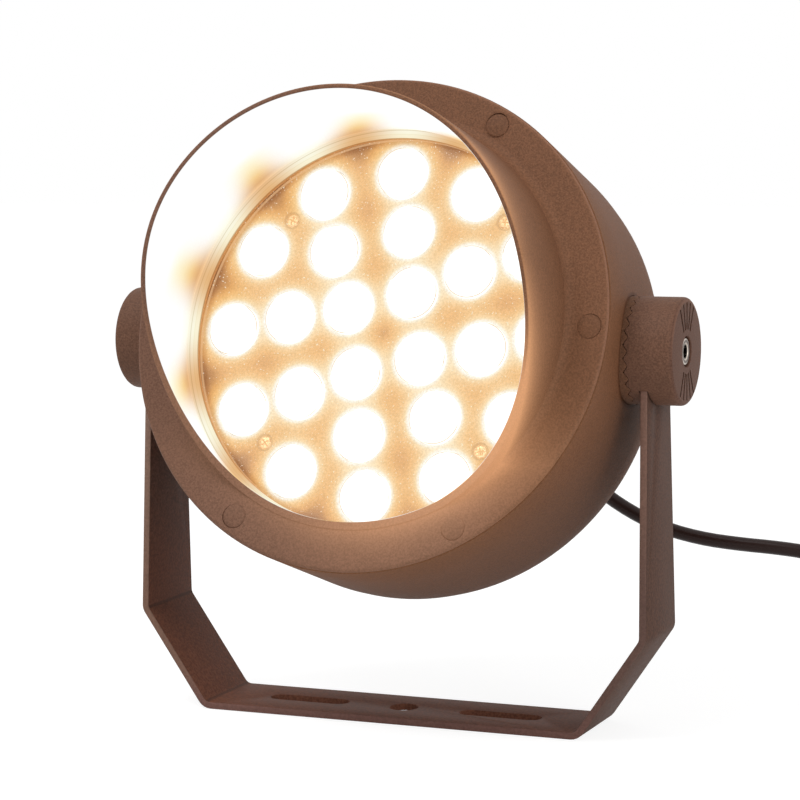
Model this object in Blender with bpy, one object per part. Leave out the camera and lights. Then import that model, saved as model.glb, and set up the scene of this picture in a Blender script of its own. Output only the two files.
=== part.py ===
"""Round outdoor LED spotlight on a bent strip bracket, in metres, +Z up, facing -Y.

The bracket stands on the floor at z = 0. The head turns about the X axis through the two side
knobs. Head pieces are modelled around that axis with the lamp looking along -Y, and an empty on
the axis tips them all up together.
"""
import math

import bmesh
import bpy
from mathutils import Matrix, Vector

for old in list(bpy.data.objects):
    bpy.data.objects.remove(old, do_unlink=True)

# Driving sizes, in metres and degrees
GAP = 0.0003                  # clearance between pieces that touch
OVERRUN = 0.002               # how far a cutter passes through what it cuts
HEAD_TILT = 18.456            # degrees that the lamp looks up
PIVOT_HEIGHT = 0.15114
BRACKET_Y = -0.0089           # puts the middle of the whole lamp over the origin
MOUTH = 0.0360                # forward of the axis, where the cover meets the housing
LIP_R = 0.0791                # round opening in front of the glass

# Front cover and its slanted hood, outwards from the opening
LIP_T = 0.0022
LIP_W = 0.0054                # part of the glass behind the lip
SKIRT_WALL = 0.0017
HOOD_STEP = 0.00025           # from the opening to the hood's inner wall, at the front face
HOOD_FLARE = 0.0033           # widening of the inner wall at the glass
HOOD_TAPER_SHARE = 0.041
HOOD_WELL = 0.0122            # lip below the front face
HOOD_RIM_T = 0.0020
HOOD_ROOT_T = 0.0030
HOOD_FOOT = 0.00415           # reach of the fillet at the hood's foot
HOOD_FILLET = 0.0042          # height of that fillet
HOOD_LEAST = 0.0004           # height of the rim at its lowest point
FACE_W = 0.0123               # flat front round the hood
FACE_STEP = 0.0010            # front face ahead of the housing's mouth
COVER_DISH = 0.0010           # the front stands this much higher at its edge
COVER_FILLET = 0.0015
SPIGOT_IN = 0.0015            # step from the cover's edge to its spigot
GLASS_POCKET_R = LIP_R + LIP_W
HOOD_R = LIP_R + HOOD_STEP
HOOD_ROOT_R = HOOD_R + HOOD_ROOT_T + HOOD_FOOT
COVER_R = HOOD_ROOT_R + FACE_W
SPIGOT_R = COVER_R - SPIGOT_IN
COVER_FACE = MOUTH + FACE_STEP
LIP_FRONT = COVER_FACE - HOOD_WELL
# The rim, above the front face, follows a slanted plane that levels out at its two ends
RIM_MEAN = 0.0408
RIM_LEAN = 0.0597
RIM_TOP = 0.0538
RIM_LOW = -0.0109
RIM_SOFT = 0.0254

# Glass, seals, lenses and board, backwards from the lip
GLASS_T = 0.0030
GLASS_GASKET_T = 0.0009
GLASS_CLEAR = 0.0004          # between the glass and the lens faces
SKIRT_BELOW = 0.0012          # the skirt ends this far behind the glass
COVER_GASKET_T = 0.0012
COVER_GASKET_W = 0.0015
LENS_HEIGHT = 0.0105
LENS_BACK_R = 0.0042
LENS_BAND = 0.0017
LENS_STAND = 0.0005           # lens face forward of the panel
BOARD_T = 0.0016
CHIP = 0.0035
CHIP_T = 0.0007
PANEL_T = 0.0015
PANEL_HIDDEN = 0.0034         # edge of the panel behind the lip
BOARD_EDGE = 0.0015           # board past the panel
POST_R = 0.0050
RING_INSET = 0.0131           # from the opening to the middle of the outer lenses
RING_SHARES = (1.0, 0.6373, 0.2936)
RING_COUNT = (12, 8, 4)
RING_TURN = (0.0, -7.5, 58.9)
LENS_LAND = 0.0064            # half the panel between two outer lenses
OUTER_RING_R = LIP_R - RING_INSET
LENS_R = OUTER_RING_R * math.sin(math.pi / RING_COUNT[0]) - LENS_LAND
PANEL_R = LIP_R + PANEL_HIDDEN
BOARD_R = PANEL_R + BOARD_EDGE
GLASS_FRONT = LIP_FRONT - LIP_T - GLASS_GASKET_T - 2 * GAP
GLASS_BACK = GLASS_FRONT - GLASS_T
LENS_FRONT = GLASS_BACK - GLASS_CLEAR
LENS_BACK = LENS_FRONT - LENS_HEIGHT
BOARD_FRONT = LENS_BACK - GAP - CHIP_T
PANEL_FRONT = LENS_FRONT - LENS_STAND

# Housing
COVER_INSET = 0.0004          # the cover's edge inside the housing's side
BOWL_DEPTH = 0.0477           # from the end of the straight side to the rear face
BACK_R = 0.0474
SEAT_DEPTH = 0.0075           # the ring's face below the mouth
SEAT_T = 0.0100
CAVITY_WALL = 0.0042
LEDGE_W = 0.0190              # land that carries the LED board
WELL_DEPTH = 0.0463           # driver space behind the board
WELL_CHAMFER = 0.0090
BACK_T = 0.0300               # rear wall with its fins
FIN_ROOT_T = 0.0060           # wall left under the fins
FIN_T = 0.0045
FIN_SLOT = 0.0090
FIN_PAIRS = 5
BOSS_HALF = 0.0140            # solid land round the cable gland
HOUSING_R = COVER_R + COVER_INSET
CAVITY_R = HOUSING_R - CAVITY_WALL
WELL_R = CAVITY_R - LEDGE_W
LEDGE = BOARD_FRONT - BOARD_T - GAP
WELL_BACK = LEDGE - WELL_DEPTH
BACK = WELL_BACK - BACK_T
SIDE_BACK = BACK + BOWL_DEPTH
FIN_FLOOR = WELL_BACK - FIN_ROOT_T
FIN_PITCH = FIN_SLOT + FIN_T
SEAT = MOUTH - SEAT_DEPTH

# Screws and plugs
PANEL_SCREW_IN = 0.0010       # inside the outer ring of lenses
PANEL_SCREW_R = 0.0015
PANEL_SCREW_HEAD_R = 0.0030
PANEL_SCREW_HEAD_T = 0.0022
PANEL_SCREW_L = 0.0103
PLUG_OUT = 0.0052             # plugs outside the hood's foot
PLUG_R = 0.0046
PLUG_T = 0.0020
HOOD_SCREW_R = 0.0015
HOOD_SCREW_HEAD_R = 0.0032
HOOD_SCREW_HEAD_T = 0.0024
HOOD_SCREW_L = 0.0100
HEX_SHARE = 0.55              # width of a hexagon socket, of the head's radius
SOCKET_SHARE = 0.6            # depth of a socket, of the head's height
PANEL_SCREW_AT = OUTER_RING_R - PANEL_SCREW_IN
PLUG_AT = HOOD_ROOT_R + PLUG_OUT

# Driver
DRIVER_H = 0.0540
DRIVER_EDGE = 0.0030
DRIVER_CLEAR = 0.0102         # from its corners to the narrow end of its space

# Side hubs, knobs and clamp bolts, outwards from the housing's side
HUB_SINK = 0.0027             # flat land for the hub, cut into the side
TEETH_OUT = 0.0017            # middle of the toothed joint past the side
TOOTH_H = 0.0019
TOOTH_COUNT = 24
KNOB_R = 0.0210
KNOB_L = 0.01835
KNOB_EDGE = 0.0018
BOLT_R = 0.0030
BOLT_HEAD_R = 0.0050
BOLT_HEAD_T = 0.0045
BOLT_SINK = 0.0012            # head below the knob's face
BOLT_L = 0.0230
RECESS_CLEAR = 0.0010
GROOVE_W = 0.0006
GROOVE_DEPTH = 0.0005
GROOVE_CLEAR = 0.0025         # from the recess to the grooves
GROOVE_EDGE = 0.0020          # from the grooves to the knob's side
GROOVE_COUNT = 5
GROOVE_STEP = 14.0
HUB_FOOT = HOUSING_R - HUB_SINK
TEETH_AT = HOUSING_R + TEETH_OUT
KNOB_OUT = TEETH_AT + KNOB_L
RECESS_R = BOLT_HEAD_R + RECESS_CLEAR

# Bracket strip
STRIP_T = 0.0027
BASE_W = 0.0399
ARM_W = 0.0286                # at the height of the axis
ARM_OUT = 0.0069              # outer face past the toothed joint, at the axis
ARM_LEAN = 0.0011             # the arms stand this much wider at the upper bend
ELBOW_IN = 0.02735            # from the upper to the lower bend
ELBOW_HEIGHT = 0.0399
BEND_INNER_R = 0.0035
SLOT_OFFSET = 0.042
SLOT_LENGTH = 0.035
SLOT_W = 0.009
CENTRE_HOLE_R = 0.006
ARM_TOP_HALF = TEETH_AT + ARM_OUT
ARM_HALF = ARM_TOP_HALF + ARM_LEAN
BASE_HALF = ARM_HALF - ELBOW_IN

# Cord, its coil and the waterproof connector
CORD_R = 0.0031
CORD_INSIDE = 0.0120          # end of the cord inside the rear face
COIL_R = 0.0335
COIL_TURNS = 3.25
TURN_GAP = 0.0008
COIL_RISE = 2 * CORD_R + TURN_GAP
COIL_X = 0.2310
COIL_Y = 0.1100
COIL_FROM = 90.0              # degrees, where the cord runs on to the coil
COIL_POINTS = 24
CROSS_FROM_SHARE = 0.58       # part of a turn where the step up starts
CROSS_SHARE = 0.30
TAIL_STEPS = 10
PLUG_BODY_R = 0.0085
PLUG_BODY_L = 0.0300
PLUG_NUT_R = 0.0105
PLUG_NUT_L = 0.0140
PLUG_TAIL_L = 0.0080
PLUG_WALL = 0.0020
PLUG_FLATS = 12

# Cable gland, outwards from the cord
GLAND_WALL = 0.0029
GLAND_NECK_STEP = 0.0008
GLAND_HEX_STEP = 0.0017
GLAND_HEX_T = 0.0050
GLAND_NECK_L = 0.0080
GLAND_SHANK_L = 0.0080
GLAND_LAND_T = 0.0060         # rear wall that the gland is screwed into
GLAND_ROOM = 0.0050           # round the gland's inner end
NUT_L = 0.0150
NUT_LIP = 0.0035
GLAND_R = CORD_R + GLAND_WALL
GLAND_NECK_R = GLAND_R + GLAND_NECK_STEP
GLAND_HEX = GLAND_NECK_R + GLAND_HEX_STEP
GLAND_POCKET_R = GLAND_R + GLAND_ROOM

# The free stretch, from behind the gland to the floor, in the bracket's frame
CORD_ROUTE = [
    (0.0015, 0.1030, 0.1162), (0.0055, 0.1110, 0.1115), (0.0120, 0.1185, 0.1045),
    (0.0210, 0.1245, 0.0955), (0.0315, 0.1285, 0.0850), (0.0435, 0.1310, 0.0745),
    (0.0570, 0.1320, 0.0663), (0.0720, 0.1323, 0.0603), (0.0880, 0.1325, 0.0569),
    (0.1040, 0.1330, 0.0553), (0.1200, 0.1340, 0.0543), (0.1340, 0.1355, 0.0526),
    (0.1470, 0.1372, 0.0486), (0.1590, 0.1390, 0.0420), (0.1695, 0.1406, 0.0330),
    (0.1775, 0.1418, 0.0232), (0.1850, 0.1427, 0.0142), (0.1930, 0.1433, 0.0080),
    (0.2020, 0.1435, 0.0046), (0.2110, 0.1435, 0.0034), (0.2210, 0.1435, 0.0031),
]

SEGMENTS = 56                 # steps round the housing, cover and glass
SEAL_STEPS = 32
HOLE_STEPS = 12
SCREW_STEPS = 12
HIDDEN_STEPS = 6
ARC_STEPS = 8                 # steps round half a slot or an arm's end
BOWL_STEPS = 6
FILLET_STEPS = 2
SHARP_ANGLE = 40.0            # edges that turn by more degrees stay sharp


def polar(radius, degrees):
    """Right and up of a point on a circle, degrees up from the right."""
    a = math.radians(degrees)
    return radius * math.cos(a), radius * math.sin(a)


def material(name, colour, rough, metal, alpha=1.0):
    mat = bpy.data.materials.new(name)
    mat.use_nodes = True
    shader = mat.node_tree.nodes["Principled BSDF"]
    shader.inputs["Base Color"].default_value = (*colour, 1.0)
    shader.inputs["Roughness"].default_value = rough
    shader.inputs["Metallic"].default_value = metal
    shader.inputs["Alpha"].default_value = alpha
    return mat


def make_object(bm, name, finish, parent=None, at=(0, 0, 0)):
    """Turn a bmesh into a named object with its own material."""
    bmesh.ops.remove_doubles(bm, verts=bm.verts, dist=1e-7)
    bmesh.ops.recalc_face_normals(bm, faces=bm.faces)
    mesh = bpy.data.meshes.new(name)
    bm.to_mesh(mesh)
    bm.free()
    mesh.shade_smooth()
    mesh.set_sharp_from_angle(angle=math.radians(SHARP_ANGLE))
    mesh.materials.append(material(name, *finish))
    obj = bpy.data.objects.new(name, mesh)
    bpy.context.scene.collection.objects.link(obj)
    obj.location = at
    obj.parent = parent
    return obj


def revolve(bm, outline, axis, steps, closed=True):
    """Spin an outline of (along, radius) points round an axis through the origin."""
    side = Vector((0, 0, 1)) if abs(axis.z) < 0.5 else Vector((1, 0, 0))
    verts = [bm.verts.new(axis * along + side * radius) for along, radius in outline]
    pairs = list(zip(verts, verts[1:])) + ([(verts[-1], verts[0])] if closed else [])
    edges = [bm.edges.new(pair) for pair in pairs]
    bmesh.ops.spin(bm, geom=verts + edges, cent=(0, 0, 0), axis=axis, dvec=(0, 0, 0),
                   angle=math.tau, steps=steps, use_merge=True, use_duplicate=False)


def skin(bm, loops):
    """Faces between closed outlines that follow each other round a ring."""
    for a, b in zip(loops, loops[1:] + loops[:1]):
        for k in range(len(a)):
            n = (k + 1) % len(a)
            bm.faces.new((a[k], a[n], b[n], b[k]))


def lathe(bm, outline, axis, steps, closed=False):
    """Turn (along, radius, sides) points round an axis; 6 or 12 sides make flats."""
    side = axis.orthogonal().normalized()
    other = axis.cross(side)
    loops = []
    for k in range(steps):
        a = math.tau * k / steps
        loop = []
        for along, radius, sides in outline:
            if sides:
                sector = math.tau / sides
                radius = radius / math.cos((a + sector / 2) % sector - sector / 2)
            loop.append(bm.verts.new(axis * along + (side * math.cos(a) + other * math.sin(a)) * radius))
        loops.append(loop)
    for a, b in zip(loops, loops[1:] + loops[:1]):
        count = len(a) if closed else len(a) - 1
        for k in range(count):
            n = (k + 1) % len(a)
            bm.faces.new((a[k], a[n], b[n], b[k]))


def stepped(bm, centre, axis, outline, steps=HOLE_STEPS):
    """Round cutter of several radii along an axis, off-centre by a vector."""
    own = bmesh.new()
    lathe(own, [(outline[0][0], 0, 0), *((along, r, 0) for along, r in outline),
                (outline[-1][0], 0, 0)], axis, steps)
    own.transform(Matrix.Translation(centre))
    add_to(bm, own)


def add_to(bm, other):
    """Move one bmesh into another, merged and facing out."""
    bmesh.ops.remove_doubles(other, verts=other.verts, dist=1e-7)
    bmesh.ops.recalc_face_normals(other, faces=other.faces)
    mesh = bpy.data.meshes.new("part")
    other.to_mesh(mesh)
    other.free()
    bm.from_mesh(mesh)
    bpy.data.meshes.remove(mesh)


def quarter(steps=FILLET_STEPS):
    """Sine and cosine at even steps over a quarter turn."""
    return [(math.sin(math.pi / 2 * k / steps), math.cos(math.pi / 2 * k / steps))
            for k in range(steps + 1)]


def screw_outline(seat, head_t, head_r, shank_r, length):
    """Outline of a socket screw whose head bears on seat and whose shank runs back from it."""
    top = seat + head_t
    socket = head_r * HEX_SHARE
    floor = top - head_t * SOCKET_SHARE
    return [(floor, 0, 0), (floor, socket, 6), (top, socket, 6), (top, head_r, 0),
            (seat, head_r, 0), (seat, shank_r, 0), (seat - length, shank_r, 0),
            (seat - length, 0, 0)]


def prism(bm, corners, low, high):
    """Extrude a flat outline of 3-D corners along the vector from low to high."""
    base = bm.faces.new([bm.verts.new(Vector(c) + low) for c in corners])
    grown = bmesh.ops.extrude_face_region(bm, geom=[base])
    moved = [v for v in grown["geom"] if isinstance(v, bmesh.types.BMVert)]
    bmesh.ops.translate(bm, verts=moved, vec=high - low)


def box(bm, low, high):
    size = Vector(high) - Vector(low)
    middle = (Vector(high) + Vector(low)) / 2
    bmesh.ops.create_cube(bm, size=1, matrix=Matrix.Translation(middle) @ Matrix.Diagonal((*size, 1)))


def cut(obj, bm, name, operation="DIFFERENCE"):
    """Subtract a bmesh from an object, or add it, with an exact Boolean."""
    mesh = bpy.data.meshes.new(name)
    bmesh.ops.recalc_face_normals(bm, faces=bm.faces)
    bm.to_mesh(mesh)
    bm.free()
    tool = bpy.data.objects.new(name, mesh)
    bpy.context.scene.collection.objects.link(tool)
    tool.display_type = "WIRE"
    tool.hide_render = True
    tool.location = obj.location
    tool.parent = obj.parent
    mod = obj.modifiers.new(name, "BOOLEAN")
    mod.operation = operation
    mod.solver = "EXACT"
    mod.object = tool


def post(bm, centre, axis, radius, start, end, steps=HOLE_STEPS):
    """Round bar along an axis, from start to end, off-centre by a vector."""
    side = axis.orthogonal().normalized()
    other = axis.cross(side)
    ring = [side * (radius * math.cos(math.tau * k / steps))
            + other * (radius * math.sin(math.tau * k / steps)) + Vector(centre)
            for k in range(steps)]
    prism(bm, ring, axis * start, axis * end)


AXIS = Vector((0, -1, 0))     # the lamp's forward direction in the head's frame
POWDER = ((0.115, 0.073, 0.052), 0.62, 0.15)
POWDER_DARK = ((0.095, 0.060, 0.043), 0.62, 0.15)
STEEL = ((0.62, 0.60, 0.57), 0.30, 1.0)
RUBBER = ((0.018, 0.016, 0.015), 0.70, 0.0)

head = bpy.data.objects.new("head_pivot", None)
bpy.context.scene.collection.objects.link(head)
head.location = (0, BRACKET_Y, PIVOT_HEIGHT)
head.rotation_euler = (-math.radians(HEAD_TILT), 0, 0)


# ---- Bracket

def arc_section(centre, start, sweep, steps):
    """Inner and outer points round one bend of the strip."""
    out = []
    for k in range(steps + 1):
        a = math.radians(start + sweep * k / steps)
        n = Vector((math.cos(a), 0, math.sin(a)))
        out.append((centre + n * BEND_INNER_R, centre + n * (BEND_INNER_R + STRIP_T)))
    return out


def bend(before, corner, after, steps=4):
    """Round the outer corner of the strip between two straight runs."""
    into = (corner - before).normalized()
    away = (after - corner).normalized()
    turn = into.angle(away)
    outer = BEND_INNER_R + STRIP_T
    back = outer * math.tan(turn / 2)
    inward = Vector((-into.z, 0, into.x))
    centre = corner - into * back + inward * outer
    start = math.degrees(math.atan2(-inward.z, -inward.x))
    return arc_section(centre, start, math.degrees(turn), steps)


def strip_width(height):
    """The arms narrow from the elbow to the axis and end in a half circle."""
    if height <= ELBOW_HEIGHT:
        return BASE_W
    share = (height - ELBOW_HEIGHT) / (PIVOT_HEIGHT - ELBOW_HEIGHT)
    width = BASE_W + (ARM_W - BASE_W) * min(share, 1.0)
    over = height - PIVOT_HEIGHT
    if over > 0:
        width = 2 * math.sqrt(max((ARM_W / 2) ** 2 - over ** 2, 0))
    return width


def arm_outer(height):
    share = (height - ELBOW_HEIGHT) / (PIVOT_HEIGHT - ELBOW_HEIGHT)
    return ARM_HALF + (ARM_TOP_HALF - ARM_HALF) * share


def make_bracket():
    foot = Vector((BASE_HALF, 0, 0))
    elbow = Vector((ARM_HALF, 0, ELBOW_HEIGHT))
    top = Vector((ARM_TOP_HALF, 0, PIVOT_HEIGHT))
    right = bend(-foot, foot, elbow) + bend(foot, elbow, top)
    inward = Vector((-1, 0, 0))
    cap_share = (0.0, 0.35, 0.62, 0.82, 0.95)
    for share in cap_share:
        z = PIVOT_HEIGHT + share * ARM_W / 2
        edge = Vector((arm_outer(z), 0, z))
        right.append((edge + inward * STRIP_T, edge))
    flip = Vector((-1, 1, 1))
    left = [(i * flip, o * flip) for i, o in reversed(right)]
    bm = bmesh.new()
    loops = []
    for inner, outer in left + right:
        w = strip_width(outer.z) / 2
        loop = [inner + Vector((0, -w, 0)), inner + Vector((0, w, 0)),
                outer + Vector((0, w, 0)), outer + Vector((0, -w, 0))]
        loops.append([bm.verts.new(p) for p in loop])
    for a, b in zip(loops, loops[1:]):
        for k in range(4):
            bm.faces.new((a[k], a[(k + 1) % 4], b[(k + 1) % 4], b[k]))
    bm.faces.new(loops[0])
    bm.faces.new(reversed(loops[-1]))
    obj = make_object(bm, "bracket", POWDER, at=(0, BRACKET_Y, 0))

    tools = bmesh.new()
    up = Vector((0, 0, 1))
    end = (SLOT_LENGTH - SLOT_W) / 2
    for side in (-1, 1):
        outline = []
        for turn, centre in ((-90, side * SLOT_OFFSET + end), (90, side * SLOT_OFFSET - end)):
            for k in range(ARC_STEPS + 1):
                x, y = polar(SLOT_W / 2, turn + 180 * k / ARC_STEPS)
                outline.append((centre + x, y, 0))
        prism(tools, outline, up * -OVERRUN, up * (STRIP_T + OVERRUN))
        post(tools, (0, 0, PIVOT_HEIGHT), Vector((side, 0, 0)), BOLT_R + GAP,
             ARM_TOP_HALF - 2 * STRIP_T, ARM_TOP_HALF + STRIP_T)
    post(tools, (0, 0, 0), up, CENTRE_HOLE_R, -OVERRUN, STRIP_T + OVERRUN, 2 * HOLE_STEPS)
    cut(obj, tools, "bracket_holes")


# ---- Housing

def skirt_out():
    return GLASS_POCKET_R + SKIRT_WALL


def make_housing():
    reach = SIDE_BACK - BACK
    bowl = [(SIDE_BACK - reach * s, BACK_R + (HOUSING_R - BACK_R) * c)
            for s, c in quarter(BOWL_STEPS)]
    pocket = BACK + GLAND_LAND_T
    seat_r = skirt_out() + GAP
    outline = [(MOUTH, HOUSING_R), *bowl, (BACK, GLAND_R + GAP), (pocket, GLAND_R + GAP),
               (pocket, GLAND_POCKET_R), (WELL_BACK, GLAND_POCKET_R),
               (WELL_BACK, WELL_R - WELL_CHAMFER), (WELL_BACK + WELL_CHAMFER, WELL_R),
               (LEDGE, WELL_R), (LEDGE, CAVITY_R), (SEAT - SEAT_T - (CAVITY_R - seat_r), CAVITY_R),
               (SEAT - SEAT_T, seat_r), (SEAT, seat_r), (SEAT, SPIGOT_R + GAP),
               (MOUTH, SPIGOT_R + GAP)]
    bm = bmesh.new()
    revolve(bm, outline, AXIS, SEGMENTS)
    obj = make_object(bm, "housing", POWDER, head)

    fins = bmesh.new()
    far = HOUSING_R + OVERRUN
    for k in range(-FIN_PAIRS, FIN_PAIRS + 1):
        x = k * FIN_PITCH
        low, high = x - FIN_SLOT / 2, x + FIN_SLOT / 2
        if abs(x) - FIN_SLOT / 2 < BOSS_HALF:
            spans = ((-far, -BOSS_HALF), (BOSS_HALF, far))
        else:
            spans = ((-far, far),)
        for bottom, top in spans:
            box(fins, (low, -FIN_FLOOR, bottom), (high, -BACK + OVERRUN, top))
    cut(obj, fins, "fin_slots")

    holes = bmesh.new()
    for k in range(6):
        x, z = polar(PLUG_AT, 60 * k)
        post(holes, (x, 0, z), AXIS, HOOD_SCREW_R + GAP, hood_screw_end() - OVERRUN,
             SEAT + OVERRUN, HIDDEN_STEPS)
    for side in (-1, 1):
        out = Vector((side, 0, 0))
        stepped(holes, (0, 0, 0), out, [(bolt_seat() - BOLT_L - OVERRUN, BOLT_R + GAP),
                                        (HUB_FOOT, BOLT_R + GAP), (HUB_FOOT, KNOB_R + GAP),
                                        (HOUSING_R + OVERRUN, KNOB_R + GAP)], 2 * HOLE_STEPS)
    cut(obj, holes, "housing_holes")


# ---- Front cover with its slanted hood

def rim_at(a):
    """How far forward the hood reaches at an angle, up from the right."""
    slant = RIM_MEAN + RIM_LEAN * math.sin(a)
    upper = (slant + RIM_TOP - math.hypot(slant - RIM_TOP, RIM_SOFT)) / 2
    level = (upper + RIM_LOW + math.hypot(upper - RIM_LOW, RIM_SOFT)) / 2
    return COVER_FACE + max(level, HOOD_LEAST)


def hood_inner(forward):
    """Inner radius of the hood, with its flare towards the glass."""
    ahead = forward - COVER_FACE
    flare = HOOD_FLARE * (ahead / HOOD_WELL) ** 2 if ahead < 0 else 0
    return HOOD_R - HOOD_TAPER_SHARE * ahead + flare


def hood_wall(forward):
    """Wall thickness, from the root to the foremost rim."""
    share = 1 - (forward - COVER_FACE) / RIM_TOP
    return HOOD_RIM_T + (HOOD_ROOT_T - HOOD_RIM_T) * share


def cover_face_at(radius):
    edge = COVER_R - COVER_FILLET
    return COVER_FACE + COVER_DISH * (radius - HOOD_ROOT_R) / (edge - HOOD_ROOT_R)


INNER_SHARES = (0, 0.07, 0.18, 0.45, 0.72, 1)
OUTER_SHARES = (0, 0.4, 0.7)


def cover_section(a):
    """(forward, radius) outline of the cover at one angle."""
    rim = rim_at(a)
    foot = min(COVER_FACE + HOOD_FILLET, COVER_FACE + (rim - COVER_FACE) / 2)
    inner = [LIP_FRONT + (rim - LIP_FRONT) * s for s in INNER_SHARES]
    outer = [rim + (foot - rim) * s for s in OUTER_SHARES]
    points = [(f, hood_inner(f)) for f in inner]
    points += [(f, hood_inner(f) + hood_wall(f)) for f in outer]
    start = hood_inner(foot) + hood_wall(foot)
    points += [(COVER_FACE + (foot - COVER_FACE) * (1 - s), start + (HOOD_ROOT_R - start) * (1 - c))
               for s, c in quarter()]
    edge = COVER_R - COVER_FILLET
    top = COVER_FACE + COVER_DISH
    points += [(top - COVER_FILLET * (1 - c), edge + COVER_FILLET * s) for s, c in quarter()]
    under = SEAT + COVER_GASKET_T + 2 * GAP
    skirt = GLASS_BACK - SKIRT_BELOW
    points += [(MOUTH + GAP, COVER_R), (MOUTH + GAP, SPIGOT_R), (under, SPIGOT_R),
               (under, skirt_out()), (skirt, skirt_out()), (skirt, GLASS_POCKET_R),
               (LIP_FRONT - LIP_T, GLASS_POCKET_R), (LIP_FRONT - LIP_T, LIP_R),
               (LIP_FRONT, LIP_R)]
    return points


def make_front_cover():
    bm = bmesh.new()
    loops = []
    for k in range(SEGMENTS):
        a = math.tau * k / SEGMENTS
        loops.append([bm.verts.new((r * math.cos(a), -f, r * math.sin(a)))
                      for f, r in cover_section(a)])
    skin(bm, loops)
    obj = make_object(bm, "front_cover", POWDER, head)
    holes = bmesh.new()
    for k in range(6):
        x, z = polar(PLUG_AT, 60 * k)
        stepped(holes, (x, 0, z), AXIS, [(SEAT, HOOD_SCREW_R + GAP),
                                         (counterbore(), HOOD_SCREW_R + GAP),
                                         (counterbore(), PLUG_R + GAP),
                                         (COVER_FACE + COVER_DISH + OVERRUN, PLUG_R + GAP)])
    cut(obj, holes, "cover_holes")


def counterbore():
    """Floor that the hood screws' heads bear on."""
    return cover_face_at(PLUG_AT) - PLUG_T - HOOD_SCREW_HEAD_T - 2 * GAP


def hood_screw_end():
    return counterbore() + GAP - HOOD_SCREW_L


def make_hood_fixings():
    floor = counterbore()
    for k in range(6):
        x, z = polar(PLUG_AT, 60 * k)
        bm = bmesh.new()
        lathe(bm, screw_outline(floor + GAP, HOOD_SCREW_HEAD_T, HOOD_SCREW_HEAD_R,
                                HOOD_SCREW_R, HOOD_SCREW_L), AXIS, HIDDEN_STEPS)
        make_object(bm, f"hood_screw_{k + 1}", STEEL, head, (x, 0, z))
        bm = bmesh.new()
        top = cover_face_at(PLUG_AT)
        lathe(bm, [(top - PLUG_T, 0, 0), (top - PLUG_T, PLUG_R, 0), (top, PLUG_R, 0), (top, 0, 0)],
              AXIS, HOLE_STEPS)
        make_object(bm, f"screw_plug_{k + 1}", POWDER_DARK, head, (x, 0, z))


# ---- Glass, seals, panel, lenses and board

def panel_screw_seat():
    return PANEL_FRONT - PANEL_SCREW_HEAD_T


def lens_places():
    for share, count, turn in zip(RING_SHARES, RING_COUNT, RING_TURN):
        for k in range(count):
            yield polar(OUTER_RING_R * share, turn + 360 * k / count)


def flat_ring(name, finish, inner, outer, back, front, steps=SEAL_STEPS):
    bm = bmesh.new()
    revolve(bm, [(back, inner), (back, outer), (front, outer), (front, inner)], AXIS, steps)
    make_object(bm, name, finish, head)


def disc(radius, back, front, steps=SEGMENTS):
    bm = bmesh.new()
    post(bm, (0, 0, 0), AXIS, radius, back, front, steps)
    return bm


def make_glass():
    pocket = GLASS_POCKET_R - GAP
    make_object(disc(pocket, GLASS_BACK, GLASS_FRONT), "glass",
                ((0.90, 0.95, 0.94), 0.03, 0.0, 0.25), head)
    flat_ring("glass_gasket", RUBBER, LIP_R, pocket, GLASS_FRONT + GAP,
              LIP_FRONT - LIP_T - GAP)
    seal_out = SPIGOT_R - GAP
    flat_ring("cover_gasket", RUBBER, seal_out - COVER_GASKET_W, seal_out, SEAT + GAP,
              SEAT + GAP + COVER_GASKET_T)


def make_lens_panel():
    front = PANEL_FRONT
    back = front - PANEL_T
    obj = make_object(disc(PANEL_R, back, front), "lens_panel",
                      ((0.80, 0.52, 0.30), 0.45, 0.0), head)
    posts = bmesh.new()
    holes = bmesh.new()
    for k in range(4):
        x, z = polar(PANEL_SCREW_AT, 45 + 90 * k)
        post(posts, (x, 0, z), AXIS, POST_R, BOARD_FRONT + GAP, back + PANEL_T / 2)
        stepped(holes, (x, 0, z), AXIS, [(BOARD_FRONT - OVERRUN, PANEL_SCREW_R + GAP),
                                         (panel_screw_seat() - GAP, PANEL_SCREW_R + GAP),
                                         (panel_screw_seat() - GAP, PANEL_SCREW_HEAD_R + GAP),
                                         (front + OVERRUN, PANEL_SCREW_HEAD_R + GAP)],
                SCREW_STEPS)
    for x, z in lens_places():
        post(holes, (x, 0, z), AXIS, LENS_R + GAP, back - OVERRUN, front + OVERRUN)
    cut(obj, posts, "panel_posts", "UNION")
    cut(obj, holes, "panel_holes")
    for k in range(4):
        x, z = polar(PANEL_SCREW_AT, 45 + 90 * k)
        bm = bmesh.new()
        lathe(bm, screw_outline(panel_screw_seat(), PANEL_SCREW_HEAD_T - GAP, PANEL_SCREW_HEAD_R,
                                PANEL_SCREW_R, PANEL_SCREW_L), AXIS, SCREW_STEPS)
        make_object(bm, f"panel_screw_{k + 1}", STEEL, head, (x, 0, z))


def make_lenses():
    """Solid collimators: a cone up to a short band that fills its hole in the panel."""
    back, front = LENS_BACK, LENS_FRONT
    outline = [(back, 0, 0), (back, LENS_BACK_R, 0), (front - LENS_BAND, LENS_R, 0),
               (front, LENS_R, 0), (front, 0, 0)]
    for k, (x, z) in enumerate(lens_places()):
        bm = bmesh.new()
        lathe(bm, outline, AXIS, HOLE_STEPS)
        make_object(bm, f"lens_{k + 1:02d}", ((1.0, 0.86, 0.62), 0.08, 0.0, 0.6), head, (x, 0, z))


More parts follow.
